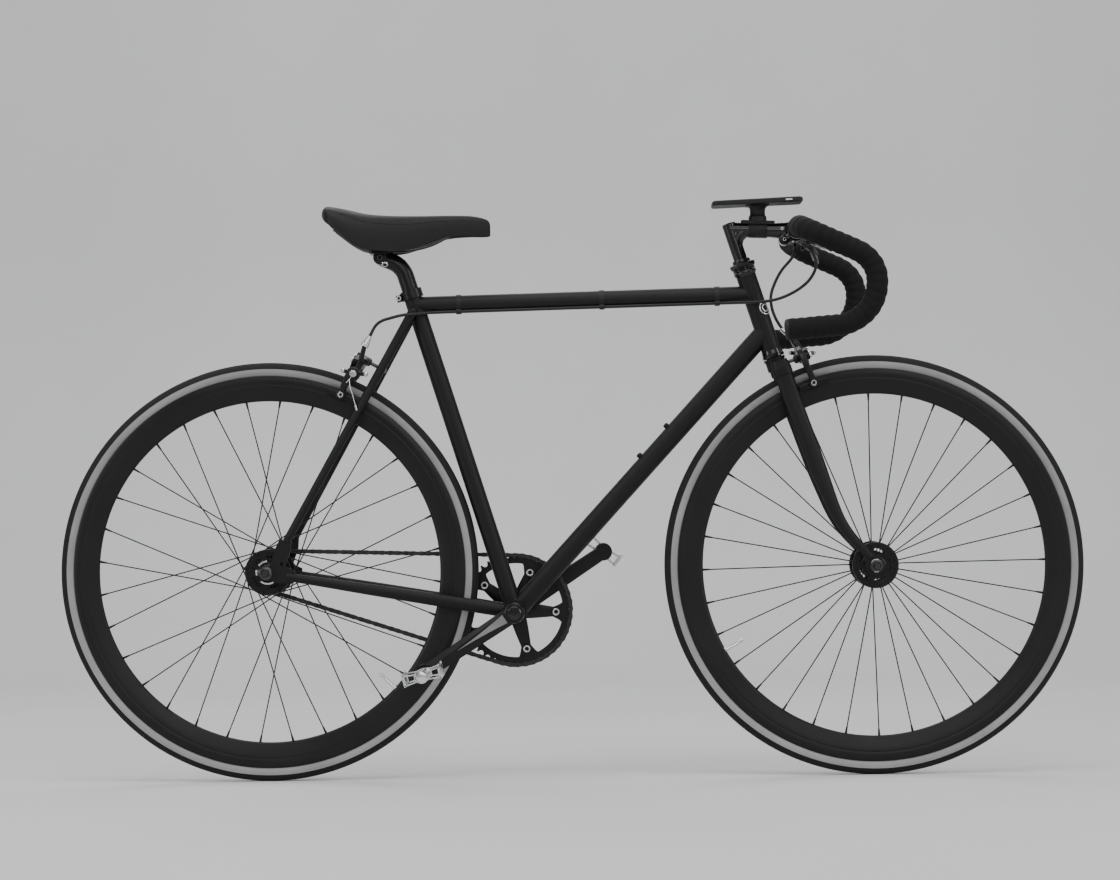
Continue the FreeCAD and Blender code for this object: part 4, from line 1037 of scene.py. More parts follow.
def make_pedal(side):
    """Cage pedal: toothed cage plates, slotted end plates, a waisted body and its dust cap."""
    centre = pedal_centres[side]
    out = LEFT * side
    base = Vector((centre.x, 0, centre.z))
    along = heading(PEDAL_TILTS[side])
    up = heading(PEDAL_TILTS[side] + 90)
    near, far = 76 * MM, 171 * MM
    half_tread = 30.5 * MM
    shape = Shape()
    body = [
        (7.2, 76.6), (9.0, 77.4), (9.4, 84.0), (8.0, 88.0), (6.6, 96.0), (6.2, 122.0), (6.6, 148.0),
        (8.6, 156.0), (10.2, 160.0), (10.4, 165.6), (9.6, 167.6), (7.6, 170.2), (5.0, 171.0),
    ]
    shape.lathe(in_mm(*body), base, out, 36)
    for sign in (-1, 1):
        top = []
        teeth = 9
        for tooth in range(teeth):
            start = near + 4 * MM + (far - near - 12 * MM) * tooth / teeth
            width = (far - near - 12 * MM) / teeth
            top += [(start, 8.4 * MM), (start + width * 0.28, 10.0 * MM),
                    (start + width * 0.62, 10.0 * MM),
                    (start + width * 0.9, 8.4 * MM)]
        outline = top + [(place, -height) for place, height in reversed(top)]
        shape.slab(outline, base, out, up, along * sign, half_tread - 2.2 * MM, half_tread,
                   bevel=0.3 * MM)
    for place in (near + 5 * MM, far - 12 * MM):
        outline_up = [(-30.0, 8.6), (-24, 9.0), (-12, 6.6), (0, 9.4), (12, 6.6), (24, 9.0),
                      (30.0, 8.6)]
        outline = outline_up + [(u, -v) for u, v in reversed(outline_up)]
        outline = in_mm(*outline)
        window_plate(shape, outline, base, along, up, out, place, place + 3.2 * MM)
    name = "pedal_cage_left" if side > 0 else "pedal_cage_right"
    body_name = "pedal_left_body" if side > 0 else "pedal_right_body"
    node = "pedal_left" if side > 0 else "pedal_right"
    shape.piece(name, body_name, [cage_metal], [node], sharp=28)


def window_plate(shape, outline, base, along, up, out, low, high):
    """End plate of the pedal cage, with a window each side of the axle."""
    shape.slab([(u, v) for u, v in outline if abs(u) < 13 * MM], base, along, up, out, low, high,
               bevel=0.3 * MM)
    for sign in (-1, 1):
        for height in (-1, 1):
            bar = [(sign * 11 * MM, height * 7.0 * MM), (sign * 29.6 * MM, height * 8.8 * MM),
                   (sign * 29.6 * MM, height * 6.9 * MM), (sign * 11 * MM, height * 4.8 * MM)]
            shape.slab(bar, base, along, up, out, low, high, bevel=0.3 * MM)
        end = [(sign * 26.6 * MM, -8.6 * MM), (sign * 30.2 * MM, -9.2 * MM),
               (sign * 31.0 * MM, 13.0 * MM),
               (sign * 28.6 * MM, 13.0 * MM), (sign * 26.6 * MM, 7.6 * MM)]
        shape.slab(end, base, along, up, out, low, high, bevel=0.3 * MM)


# ---------------------------------------------------------------- steering and bars

HEAD_BOTTOM = 378.5
HEAD_TOP = 504.5


def make_headset():
    """Lower cup, upper cup, washer, lock nut and collar, turned about the steering axis."""
    lower = Shape()
    lower.lathe(
        in_mm((12.9, 0.6), (17.2, 0.6), (18.0, 1.2), (18.0, 5.6), (17.2, 6.4), (17.0, 9.2),
              (16.4, 12.4), (16.3, 13.0), (12.9, 13.0)),
        on_steer(HEAD_BOTTOM - 13), steer_up, 56, closed=True,
    )
    lower.lathe(
        in_mm((12.9, 0.0), (16.2, 0.0), (16.6, 1.0), (18.0, 3.2), (18.6, 4.4), (18.6, 7.0),
              (18.0, 7.9), (12.9, 8.0)),
        on_steer(HEAD_TOP), steer_up, 56, closed=True,
    )
    lower.piece("headset_bearings", "frame", [polished_black], ["headset_cups"])
    upper = Shape()
    foot = on_steer(HEAD_TOP + 8.5)
    upper.lathe(
        in_mm((12.8, 0), (17.4, 0), (18.2, 0.6), (18.2, 3.2), (17.6, 3.8), (12.8, 3.9)),
        foot, steer_up, 56, closed=True,
    )
    upper.lathe(in_mm((12.8, 4.0), (18.6, 4.1), (19.4, 4.8), (19.4, 6.2), (12.8, 6.4)),
                foot, steer_up, 56, closed=True)
    upper.nut(foot + steer_up * (6.3 * MM), steer_up, 35.5 * MM, 6.6 * MM, bevel=1.0 * MM)
    upper.lathe(in_mm((11.3, 12.8), (14.6, 12.8), (14.9, 13.6), (14.2, 18.2), (13.4, 19.0),
                      (11.3, 19.0)),
        foot, steer_up, 48, closed=True)
    upper.piece("headset_locknut", "steering", [polished_black, bright_steel],
                ["headset_nut"])


def make_stem():
    """Quill stem with a filleted corner, an expander bolt on top and a two-bolt bar clamp."""
    shape = Shape()
    top = stem_corner + steer_up * (10 * MM)
    foot = on_steer(440)
    run = (top - foot).length
    shape.lathe(
        [(10.4 * MM, 0), (11.1 * MM, 0.6 * MM), (11.1 * MM, run - 1.2 * MM),
         (10.2 * MM, run - 0.2 * MM),
         (6.4 * MM, run), (6.2 * MM, run - 1.6 * MM), (0, run - 1.6 * MM)], foot, steer_up, 48,
    )
    shape.cap_bolt(top - steer_up * (2 * MM), steer_up, 5.4 * MM, 2.6 * MM, slot=1, socket_shade_slot=2)
    axis = (bar_centre - stem_corner).normalized()
    length = (bar_centre - stem_corner).length
    shape.lathe(
        [(11.2 * MM, -2 * MM), (11.3 * MM, length * 0.3), (11.6 * MM, length * 0.62),
         (13.4 * MM, length * 0.84), (15.2 * MM, length - 6 * MM)], stem_corner, axis, 44,
    )
    arm = arc_line(
        [stem_corner - steer_up * (30 * MM), stem_corner, stem_corner + axis * (34 * MM)],
        [23 * MM], 2 * MM
    )
    shape.swept(arm, lambda along, angle: 10.9 * MM, 32)
    barrel = [
        (12.9, -19.4), (16.6, -19.4), (17.6, -18.4), (17.9, 0), (17.6, 18.4), (16.6, 19.4),
        (12.9, 19.4)
    ]
    shape.lathe(in_mm(*barrel), bar_centre, LEFT, 48, closed=True)
    lug = bar_centre + Vector((-18 * MM, 0, -14 * MM))
    for sign in (-1, 1):
        start = lug + LEFT * (sign * 1.2 * MM)
        shape.lathe(
            in_mm((8.4, 0), (9.0, 0.6), (9.0, 11.6), (8.2, 12.6), (4.5, 12.8)),
            start, LEFT * sign, 36,
        )
        centre = bar_centre.lerp(lug, 0.55) + LEFT * (sign * 7.2 * MM)
        down = (lug - bar_centre).normalized()
        shape.ribbon(
            [centre - down * (9 * MM), centre, centre + down * (11 * MM)],
            [12 * MM, 11 * MM, 8.6 * MM],
            [6 * MM, 6 * MM, 5.6 * MM], LEFT, round_share=0.3,
        )
    shape.cap_bolt(lug - LEFT * (13.4 * MM), -LEFT, 3.4 * MM, 4.0 * MM, slot=1, socket_shade_slot=2)
    shape.cap_bolt(bar_centre + Vector((-22, -15, 3)) * MM, -LEFT, 2.6 * MM, 4.0 * MM, slot=1,
                   socket_shade_slot=2)
    shape.nut(lug + LEFT * (13.4 * MM), LEFT, 8 * MM, 3.4 * MM, slot=1)
    shape.piece("stem_forging", "steering", [polished_black, bright_steel, painted_socket_shade],
                ["stem"])


BAR_HALF_WIDTH = 200 * MM
BAR_LEVEL_HALF = 108 * MM
BAR_TOP_FALL = 9 * MM
BAR_REACH = 113 * MM
BAR_DROP = 156 * MM
BAR_RAMP_DEG = 24.0
BAR_END_FALL_DEG = 4.5
BAR_END = 72 * MM
BAR_RADII = [120 * MM, 40 * MM, 52 * MM, 66 * MM]
BAR_TUBE = 11.9 * MM
TAPE_START = 92 * MM


def bar_points(side, start):
    """Corners of one side of the drop bar, from beside the stem to the bar end."""
    wide = LEFT * (side * BAR_HALF_WIDTH)
    corner = bar_centre + wide - UP * BAR_TOP_FALL
    ramp_end = corner + AHEAD * BAR_REACH - UP * (BAR_REACH * math.tan(math.radians(BAR_RAMP_DEG)))
    hook_end = bar_centre + wide + AHEAD * BAR_REACH - UP * BAR_DROP
    back = BAR_RADII[-1] + BAR_END
    tail = hook_end - AHEAD * back - UP * (back * math.tan(math.radians(BAR_END_FALL_DEG)))
    level = bar_centre + LEFT * (side * BAR_LEVEL_HALF)
    return [bar_centre + LEFT * (side * start), level, corner, ramp_end, hook_end, tail]


def make_bar():
    """Round drop bar with its thicker sleeve in the stem's clamp."""
    shape = Shape()
    for side in (-1, 1):
        shape.tube(arc_line(bar_points(side, 0), BAR_RADII, 4 * MM), BAR_TUBE, steps=28)
    sleeve = [(11.9, -34), (12.8, -30), (12.8, 30), (11.9, 34)]
    shape.lathe(in_mm(*sleeve), bar_centre, LEFT, 40)
    shape.piece("drop_bar", "steering", [anodised], ["handlebar"])


TAPE_PITCH = 13.5 * MM
TAPE_RADIUS = 16.9 * MM


def tape_radius(along, angle):
    """Radius of the wound tape: each turn swells over its lap on the turn before."""
    turn = (along / TAPE_PITCH + angle / (2 * math.pi)) % 1.0
    swell = 1.25 * MM * math.sin(math.pi * turn) ** 0.7 - 1.0 * MM
    ripple = 0.12 * MM * math.sin(angle * 3 + along / (9 * MM))
    return TAPE_RADIUS + swell + ripple


def make_tape(side):
    """Bar tape wound from beside the brake lever to the bar end, with its finishing band."""
    line = arc_line(bar_points(side, TAPE_START), BAR_RADII, 1.6 * MM)
    shape = Shape()
    shape.swept(line, tape_radius, 40)
    band = LEFT * side
    start = bar_centre + band * TAPE_START
    profile = [(13.4, -7), (14.2, -6.6), (16.8, 0.5), (17.2, 6), (16.6, 6.6)]
    shape.lathe(in_mm(*profile), start, band, 40, slot=1)
    name = "bar_wrap_left" if side > 0 else "bar_wrap_right"
    node = "bar_tape_left" if side > 0 else "bar_tape_right"
    shape.piece(name, "steering", [wrap, plastic], [node], sharp=60)


def make_bar_plugs():
    """Domed plugs that tuck the tape into the bar ends."""
    shape = Shape()
    for side in (-1, 1):
        corner, end = bar_points(side, 0)[-2:]
        profile = [(16.0, -1.5), (16.4, 0.5), (16.0, 2.6), (14.4, 4.4), (10.0, 5.6), (4.2, 6.0),
                   (0.3, 6.05)]
        shape.lathe(in_mm(*profile), end, (end - corner).normalized(), 40)
    shape.piece("bar_end_plugs", "steering", [plastic], ["bar_plugs"])


LEVER_SIDE = 62.0
LEVER_TILT = -40.0


def make_brake_lever(side):
    """Cross-top lever: a hinged clamp on the bar, a barrel for the cable and a curved blade."""
    out = heading(LEVER_TILT)
    up = heading(LEVER_TILT + 90)
    shape = Shape()
    clamp_at = bar_centre + LEFT * (side * LEVER_SIDE * MM)
    clamp = [(12.2, -7.6), (15.8, -7.6), (16.6, -6.6), (16.8, 0), (16.6, 6.6), (15.8, 7.6),
             (12.2, 7.6)]
    shape.lathe(in_mm(*clamp), clamp_at, LEFT, 44, closed=True)

    def place(aside, reach, height=0.0):
        return bar_centre + LEFT * (side * aside * MM) + out * (reach * MM) + up * (height * MM)

    body = [place(56, 13), place(55, 22), place(55, 30), place(58, 38)]
    shape.ribbon(body, [8.5 * MM, 9.5 * MM, 9 * MM, 7 * MM],
                 [6.2 * MM, 6.0 * MM, 5.6 * MM, 5.0 * MM], up)
    blade = smooth_line([
        place(57, 36), place(68, 43, 0.5), place(84, 46, 1.0), place(104, 49, 1.0),
        place(128, 54, 0.2),
        place(147, 58, -1.0), place(151, 58, -1.4),
    ])
    count = len(blade)
    widths, thick = [], []
    for index in range(count):
        share = index / (count - 1)
        end = min(1.0, (1 - share) * 14)
        widths.append((6.8 + 1.2 * math.sin(math.pi * share)) * MM * max(end, 0.35) ** 0.5)
        thick.append(3.6 * MM * max(end, 0.4) ** 0.5)
    shape.ribbon(blade, widths, thick, up, round_share=0.8)
    pivot = place(57, 27)
    shape.rod(pivot - up * (7.2 * MM), pivot + up * (7.2 * MM), 3.6 * MM, slot=3)
    barrel = place(66, 20)
    down = Vector((0.12, 0, -1)).normalized()
    shape.rod(barrel, barrel + down * (14 * MM), 4.2 * MM, 3.6 * MM, slot=0)
    shape.cap_bolt(clamp_at - AHEAD * (14 * MM) - UP * (11 * MM), heading(218), 3.4 * MM, 4.4 * MM,
                   slot=3, socket_shade_slot=2)
    name = "cross_lever_left" if side > 0 else "cross_lever_right"
    node = "brake_lever_left" if side > 0 else "brake_lever_right"
    shape.piece(name, "steering", [anodised, bright_steel, painted_socket_shade, dark_steel],
                [node], sharp=40)


def make_badge():
    """Plain round badge on the right front of the head tube: a bright rim round a dark disc."""
    shape = Shape()
    middle = 446.0
    aim = math.radians(-42)
    tube_radius = 15.9 * MM
    rings = []
    steps = 40
    for radius, proud in ((11.2, 0.0), (11.2, 0.9), (10.6, 1.2), (9.6, 1.2), (9.2, 0.7), (6.6, 0.7),
                          (6.2, 1.1),
                          (5.2, 1.1), (4.8, 0.7), (0.4, 0.7)):
        ring = []
        for step in range(steps):
            angle = 2 * math.pi * step / steps
            aside = radius * MM * math.cos(angle)
            turn = aim + aside / tube_radius
            reach = tube_radius + proud * MM
            ring.append(
                on_steer(middle + radius * math.sin(angle)) + steer_ahead * (reach * math.cos(turn))
                + LEFT * (reach * math.sin(turn))
            )
        rings.append(ring)
    shape.rings(rings[:5], 0, caps=False)
    shape.rings(rings[4:6], 1, caps=False)
    shape.rings(rings[5:9], 0, caps=False)
    shape.rings(rings[8:], 1, caps=False)
    shape.piece("head_badge", "frame", [bright_steel, anodised], sharp=50)


# ---------------------------------------------------------------- brakes

PAD_RADIUS = 307.0 * MM


class Caliper:
    """Directions of a caliper about its centre bolt. side is 1 on the rider's left, else -1."""

    def __init__(self, bolt, up, back, wheel, anchor_side):
        self.bolt, self.up, self.back, self.wheel = bolt, up, back, wheel
        self.anchor_side = anchor_side
        arm = bolt - wheel
        along = arm.dot(up)
        self.drop = (along - math.sqrt(PAD_RADIUS**2 - arm.length_squared + along**2)) / MM

    def place(self, side, height, depth=0.0):
        """Millimetres aside, up and towards the frame from the centre bolt."""
        return self.bolt + LEFT * (side * MM) + self.up * (height * MM) + self.back * (depth * MM)


def stay_axis():
    """Top and foot of the seat stays' centre lines on the left."""
    top = crank_centre + seat_dir * (507 * MM) - AHEAD * (6 * MM)
    end = ground(33, 63, 386)
    return Vector((top.x, 17.5 * MM, top.z)), end


stay_top, stay_end = stay_axis()
stay_run = stay_top - stay_end
stay_up = Vector((stay_run.x, 0, stay_run.z)).normalized()
stay_back = Vector((-stay_up.z, 0, stay_up.x))
BRIDGE_HEIGHT = 659 * MM
bridge_share = (stay_top.z - floor_height - BRIDGE_HEIGHT) / (stay_top.z - stay_end.z)
bridge_place = stay_top.lerp(stay_end, bridge_share)
bridge_centre = Vector((bridge_place.x, 0, bridge_place.z))
front_caliper = Caliper(on_steer(352, 45), steer_up, -steer_ahead, front_hub, 1)
rear_caliper = Caliper(bridge_centre + stay_back * (37 * MM), stay_up, -stay_back, rear_hub, -1)


FRONT_BARREL = (front_caliper.up * 0.87 + front_caliper.back * 0.49).normalized()
REAR_BARREL = (rear_caliper.up - rear_caliper.back * 0.25).normalized()


def make_caliper(name, caliper, body, node, eye, clamp_at, lift, barrel, barrel_length):
    """Dual-pivot caliper: two forged arms, their pivots, the cable clamp, adjuster and release.

    eye and clamp_at are (height, depth) of the adjuster's eye and the cable clamp; lift raises the
    arms' crossing over the tyre.
    """
    shape = Shape()
    side, drop, place = caliper.anchor_side, caliper.drop, caliper.place
    eye_height, eye_depth = eye
    clamp_height, clamp_depth = clamp_at
    front = smooth_line([
        place(side * 33, eye_height + 4, eye_depth), place(side * 32, eye_height - 6, eye_depth),
        place(side * 29, (eye_height + clamp_height) / 2, (eye_depth + clamp_depth) / 2),
        place(side * 33, clamp_height, -4), place(side * 36, (clamp_height - drop) / 2, -3),
        place(side * 33, -drop + 12, -1), place(side * 31, -drop, 0),
        place(side * 31, -drop - 5, 0),
    ])
    count = len(front)
    widths = [(7.0 + 3.4 * math.sin(math.pi * min(1, index / count * 1.6))) * MM
              for index in range(count)]
    shape.ribbon(front, widths, [5.2 * MM] * count, caliper.back, round_share=0.55)
    shape.ribbon(
        [place(side * 30, 6 + lift, -4), place(side * 18, 12 + lift, -4),
         place(side * 4, 10 + lift, -4),
         place(-side * 5, 2, -4)],
        [10 * MM, 10.4 * MM, 9.6 * MM, 7.6 * MM], [5.4 * MM] * 4, caliper.back, round_share=0.55,
    )
    rear = smooth_line([
        place(side * 24, 14 + lift, 5), place(side * 8, 19 + lift, 5),
        place(-side * 14, 17 + lift, 5),
        place(-side * 31, 8 + lift, 4), place(-side * 37, -10 + lift * 0.6, 2),
        place(-side * 35, -drop + 14, 0),
        place(-side * 31, -drop, 0), place(-side * 31, -drop - 5, 0),
    ])
    count = len(rear)
    widths = [(7.8 + 2.0 * math.sin(math.pi * index / count)) * MM for index in range(count)]
    shape.ribbon(rear, widths, [4.8 * MM] * count, caliper.back, round_share=0.55)
    shape.ribbon(
        [place(-side * 8, 12 + lift, 4.5), place(0, lift * 0.5, 4.5), place(0, -7, 4.5)],
        [8 * MM, 9 * MM, 7 * MM],
        [4.6 * MM] * 3, caliper.back, round_share=0.5,
    )
    pivot_height = 12 + lift
    for aside, height, radius in ((0, 0, 7.0), (side * 21, pivot_height, 8.5)):
        boss = place(aside, height, 9.4)
        shape.rod(boss, place(aside, height, -10.6), radius * MM, bevel=1.0 * MM, steps=32)
        shape.cap_bolt(place(aside, height, -10.4), -caliper.back, 4.6 * MM, 3.4 * MM, slot=1,
                       socket_shade_slot=2)
    shape.rod(place(0, 0, 8), place(0, 0, 30), 3.0 * MM, slot=3)
    shape.rod(place(0, 0, 9), place(0, 0, 16), 6.0 * MM, bevel=0.8 * MM, steps=28)
    shape.nut(place(0, 0, 9.6), caliper.back, 12 * MM, 4.6 * MM, slot=3)
    anchor = place(side * 33, eye_height, eye_depth)
    shape.rod(anchor, anchor + barrel * (barrel_length * MM), 4.2 * MM, 3.7 * MM, slot=0)
    knurl = [(4.9, 3), (5.5, 3.6), (5.5, 8.4), (4.9, 9.0)]
    shape.lathe(in_mm(*knurl), anchor, barrel, 14, slot=0)
    clamp = place(side * 43, clamp_height, clamp_depth)
    out = LEFT * side
    shape.lathe(in_mm((9.5, -12), (11.5, -10), (11.5, -3), (9.5, -1.4), (7.4, -1.2), (7.2, 0),
                      (6.4, 0.8), (4.9, 0.8)), clamp, out, 36)
    shape.lathe(in_mm((5.6, 0.2), (5.6, 1.6), (5.0, 2.2), (3.4, 2.3), (3.0, 1.0), (0, 1.0)),
                clamp, out, 28, slot=1)
    cable = [anchor + caliper.up * (2 * MM),
             place(side * 40, (eye_height + clamp_height) / 2, eye_depth - 3),
             clamp + caliper.up * (2 * MM), clamp - caliper.up * (8 * MM),
             place(side * 44, clamp_height - 18, clamp_depth - 3)]
    shape.tube(smooth_line(cable), 0.8 * MM, steps=8, slot=1)
    for height, depth, radius in ((clamp_height - 3, clamp_depth - 17, 3.6),
                                  (clamp_height + 9, clamp_depth + 18, 3.8)):
        knob = place(side * 40, height, depth)
        shape.ribbon([clamp - out * (7 * MM), (clamp + knob) / 2 - out * (5 * MM), knob],
                     [3.2 * MM] * 3, [4.6 * MM, 4.0 * MM, 3.2 * MM], out, round_share=0.6)
        shape.lathe(in_mm((radius, -1), (radius, 3.4), (radius - 1, 4.6), (0.4, 5.0)),
                    knob, out, 24, slot=1)
    shape.piece(name, body, [anodised, bright_steel, painted_socket_shade, dark_steel], [node],
                sharp=40)


def make_pads(name, caliper, body, node):
    """Brake shoes: a holder, the rubber block, and a domed washer and bolt through the arm."""
    shape = Shape()
    middle = caliper.place(0, -caliper.drop)
    radial = (middle - caliper.wheel).normalized()
    along = Vector((radial.z, 0, -radial.x))
    for side in (-1, 1):
        out = LEFT * side
        points, widths, thick = [], [], []
        for share in (-1, -0.93, -0.7, 0, 0.7, 0.93, 1):
            ends = math.sqrt(max(1 - abs(share) ** 5, 0.02))
            curve = radial * (-1.3 * MM * share * share)
            points.append(middle + along * (25 * MM * share) + curve + out * (16.6 * MM))
            widths.append(5.0 * MM * (0.55 + 0.45 * ends))
            thick.append(4.4 * MM * (0.6 + 0.4 * ends))
        shape.ribbon(points, widths, thick, out, slot=0, round_share=0.5)
        holder = [point + out * (4.6 * MM) for point in points[1:-1]]
        shape.ribbon(holder, [width * 0.86 for width in widths[1:-1]], [1.6 * MM] * 5, out, slot=1,
                     round_share=0.5)
        shape.lathe(in_mm((3.4, 21.4), (7.2, 22.2), (7.4, 24.4), (6.0, 25.8), (3.4, 26.0)),
                    middle, out, 32, slot=1)
        shape.lathe(in_mm((6.8, 35.2), (7.4, 35.8), (7.0, 37.2), (5.4, 38.0)),
                    middle, out, 32, slot=1)
        shape.cap_bolt(middle + out * (37.4 * MM), out, 4.9 * MM, 4.0 * MM, slot=2, socket_shade_slot=3)
    shape.piece(name, body, [pad_rubber, anodised, bright_steel, painted_socket_shade], [node],
                sharp=40)


# ---------------------------------------------------------------- cables

CABLE_RADIUS = 2.5 * MM
TOP_TUBE_RADIUS = 14.3
TOP_TUBE_RISE = 1.1
seat_cluster = crank_centre + seat_dir * (517 * MM)
top_dir = heading(TOP_TUBE_RISE)
CABLE_ASIDE = -(TOP_TUBE_RADIUS + 2.5) * 0.72


def beside_top_tube(place):
    """Millimetres along the top tube, on the line where the rear housing runs beside it."""
    return seat_cluster + top_dir * (place * MM) + Vector((0, CABLE_ASIDE * MM, CABLE_ASIDE * MM))


def ferrule(shape, place, axis, length=11.0, radius=3.2, slot=1):
    shape.lathe(
        in_mm((radius - 0.4, 0), (radius, 0.5), (radius, length - 2), (2.6, length)),
        place, axis, 24, slot=slot,
    )


def make_front_cable():
    """Front housing from the left lever to the caliper's adjuster."""
    anchor = front_caliper.place(33, 32, 4)
    barrel = FRONT_BARREL
    line = smooth_line([
        bar_centre + Vector((4, 70, -20)) * MM, bar_centre + Vector((5, 68, -36)) * MM,
        bar_centre + Vector((-17, 60, -52)) * MM, bar_centre + Vector((-34, 50, -86)) * MM,
        bar_centre + Vector((-42, 42, -112)) * MM, anchor + barrel * (34 * MM),
        anchor + barrel * (8 * MM),
    ], 4)
    shape = Shape()
    shape.tube(line, CABLE_RADIUS, steps=16)
    ferrule(shape, anchor + barrel * (12 * MM), barrel, 14.0, 3.8)
    shape.piece("front_housing", "steering", [housing, bright_steel],
                ["front_cable"])


def make_rear_cable():
    """Rear housing along the top tube and over to the rear caliper, ending in a bright cone."""
    barrel_top = rear_caliper.place(-33, -11, 4) + REAR_BARREL * (31 * MM)
    line = arc_line(
        [beside_top_tube(491), beside_top_tube(30),
         beside_top_tube(-20) + Vector((0, -30, -4)) * MM,
         barrel_top + stay_up * (44 * MM) + Vector((0, -8, 0)) * MM,
         barrel_top + stay_up * (16 * MM)],
        [60 * MM, 40 * MM, 30 * MM], 4 * MM,
    )
    shape = Shape()
    shape.tube(line, CABLE_RADIUS, steps=16)
    cone = [(6.2, 0), (6.5, 0.8), (6.3, 4), (3.0, 20), (2.7, 23)]
    shape.lathe(in_mm(*cone), barrel_top, stay_up, 28, slot=1)
    tail_top = rear_caliper.place(-44, -38, 1)
    tail = smooth_line([tail_top, tail_top - UP * (10 * MM),
                        tail_top - UP * (26 * MM) + AHEAD * (5 * MM),
                        tail_top - UP * (42 * MM) + AHEAD * (9 * MM)])
    shape.tube(tail, 0.8 * MM, steps=8, slot=1)
    shape.rod(tail[-1], tail[-1] + (tail[-1] - tail[-4]).normalized() * (9 * MM), 1.7 * MM,
              1.5 * MM, steps=12, slot=1)
    shape.piece("rear_housing", "frame", [housing, bright_steel], ["rear_cable"])


def make_cable_loop():
    """Rear housing's free loop, right lever to first clip."""
    line = smooth_line([
        bar_centre + Vector((6, -70, -20)) * MM, bar_centre + Vector((34, -64, -46)) * MM,
        bar_centre + Vector((27, -56, -76)) * MM, bar_centre + Vector((4, -50, -96)) * MM,
        bar_centre + Vector((-22, -44, -109)) * MM, bar_centre + Vector((-50, -34, -116)) * MM,
        beside_top_tube(519) + Vector((0, -8, 0)) * MM, beside_top_tube(491),
    ], 4)
    shape = Shape()
    shape.tube(line, CABLE_RADIUS, steps=16)
    loop = shape.piece("rear_housing_loop", None, [housing], ["rear_cable_loop"])
    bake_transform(loop)


def make_cable_ferrules():
    """End caps of the housing where it leaves the levers, in dark steel."""
    shape = Shape()
    for side, ahead in ((1, 4), (-1, 6)):
        place = bar_centre + Vector((ahead, side * 70, -18)) * MM
        ferrule(shape, place - UP * (6 * MM), UP, 9.0)
    shape.piece("lever_ferrules", "steering", [dark_steel, dark_steel])


# ---------------------------------------------------------------- saddle and seat post

SADDLE_SECTIONS = [
    (93.0, 34.0, 915.0, 903.0), (99.0, 55.0, 920.5, 894.0), (112.0, 65.0, 919.5, 883.5),
    (135.0, 67.0, 915.0, 866.0), (162.0, 62.0, 908.8, 850.0), (190.0, 51.0, 906.0, 846.5),
    (216.0, 40.0, 905.0, 846.0), (243.0, 31.0, 904.8, 852.0), (272.0, 25.0, 904.8, 864.0),
    (300.0, 21.5, 904.8, 869.5), (328.0, 19.0, 904.0, 871.0), (348.0, 16.0, 900.5, 870.5),
    (358.0, 12.5, 896.0, 871.0), (361.0, 8.0, 890.0, 873.0),
]


def saddle_ring(x, half, top, skirt):
    """Closed cross-section: over the crown and shoulders, under the skirt's lip and back inside."""
    depth = top - skirt
    outer = []
    steps = 26
    for step in range(steps + 1):
        angle = math.pi * step / steps
        across = math.cos(angle)
        rise = math.sin(angle)
        width = half * math.copysign(abs(across) ** 0.62, across)
        height = top - depth * (1 - rise ** 0.62) if rise > 0.02 else skirt
        outer.append((width, height))
    shell = min(5.0, half * 0.3)
    inner = []
    for width, height in reversed(outer):
        inner.append((width * (half - shell) / half,
                      max(skirt + 0.8, height - min(16.0, depth * 0.45))))
    return [ground(x, width, height) for width, height in outer + inner]


def make_saddle():
    """Long racing saddle: padded top, deep skirts and a seam along each shoulder."""
    columns = list(zip(*SADDLE_SECTIONS))
    rings = []
    steps = 72
    last = len(SADDLE_SECTIONS) - 1
    for step in range(steps + 1):
        share = last * step / steps
        rings.append(saddle_ring(*[hermite(column, share) for column in columns]))
    shape = Shape()
    shape.rings(rings, 0)
    shape.piece("saddle_shell", "frame", [leather], ["saddle"], sharp=70)
    seam = Shape()
    for side in (-1, 1):
        line = []
        for step in range(6, steps - 5):
            share = last * step / steps
            x, half, top, skirt = [hermite(column, share) for column in columns]
            angle = math.radians(38)
            width = half * math.cos(angle) ** 0.62
            height = top - (top - skirt) * (1 - math.sin(angle) ** 0.62)
            line.append(ground(x, side * (width + 0.1), height + 0.1))
        seam.tube(line, 0.35 * MM, steps=8)
    seam.piece("saddle_seams", "frame", [plastic])


def make_seat_hardware():
    """Bolts of the seat collar and the rail clamp, bright but for the clamp's two dark side bolts."""
    shape = Shape()
    seat_top = crank_centre + seat_dir * (542 * MM)
    mid = seat_top - seat_dir * (6 * MM)
    back = heading(270 - SEAT_TUBE_ANGLE)
    bolt = mid + back * (21.3 * MM)
    shape.cap_bolt(bolt - LEFT * (8.5 * MM), -LEFT, 4.4 * MM, 4.4 * MM, socket_shade_slot=1)
    shape.nut(bolt + LEFT * (8.5 * MM), LEFT, 8 * MM, 3 * MM)
    clamp = ground(184, 0, 838)
    for side in (-1, 1):
        shape.cap_bolt(clamp + LEFT * (side * 16.6 * MM), LEFT * side, 5.0 * MM, 3.6 * MM, slot=2,
                       socket_shade_slot=1)
    down = Vector((0.1, -0.55, -0.83)).normalized()
    shape.cap_bolt(ground(191, -11, 830), down, 6.2 * MM, 4.2 * MM, socket_shade_slot=1)
    shape.piece("seat_bolts", "frame", [bright_steel, painted_socket_shade, dark_steel])


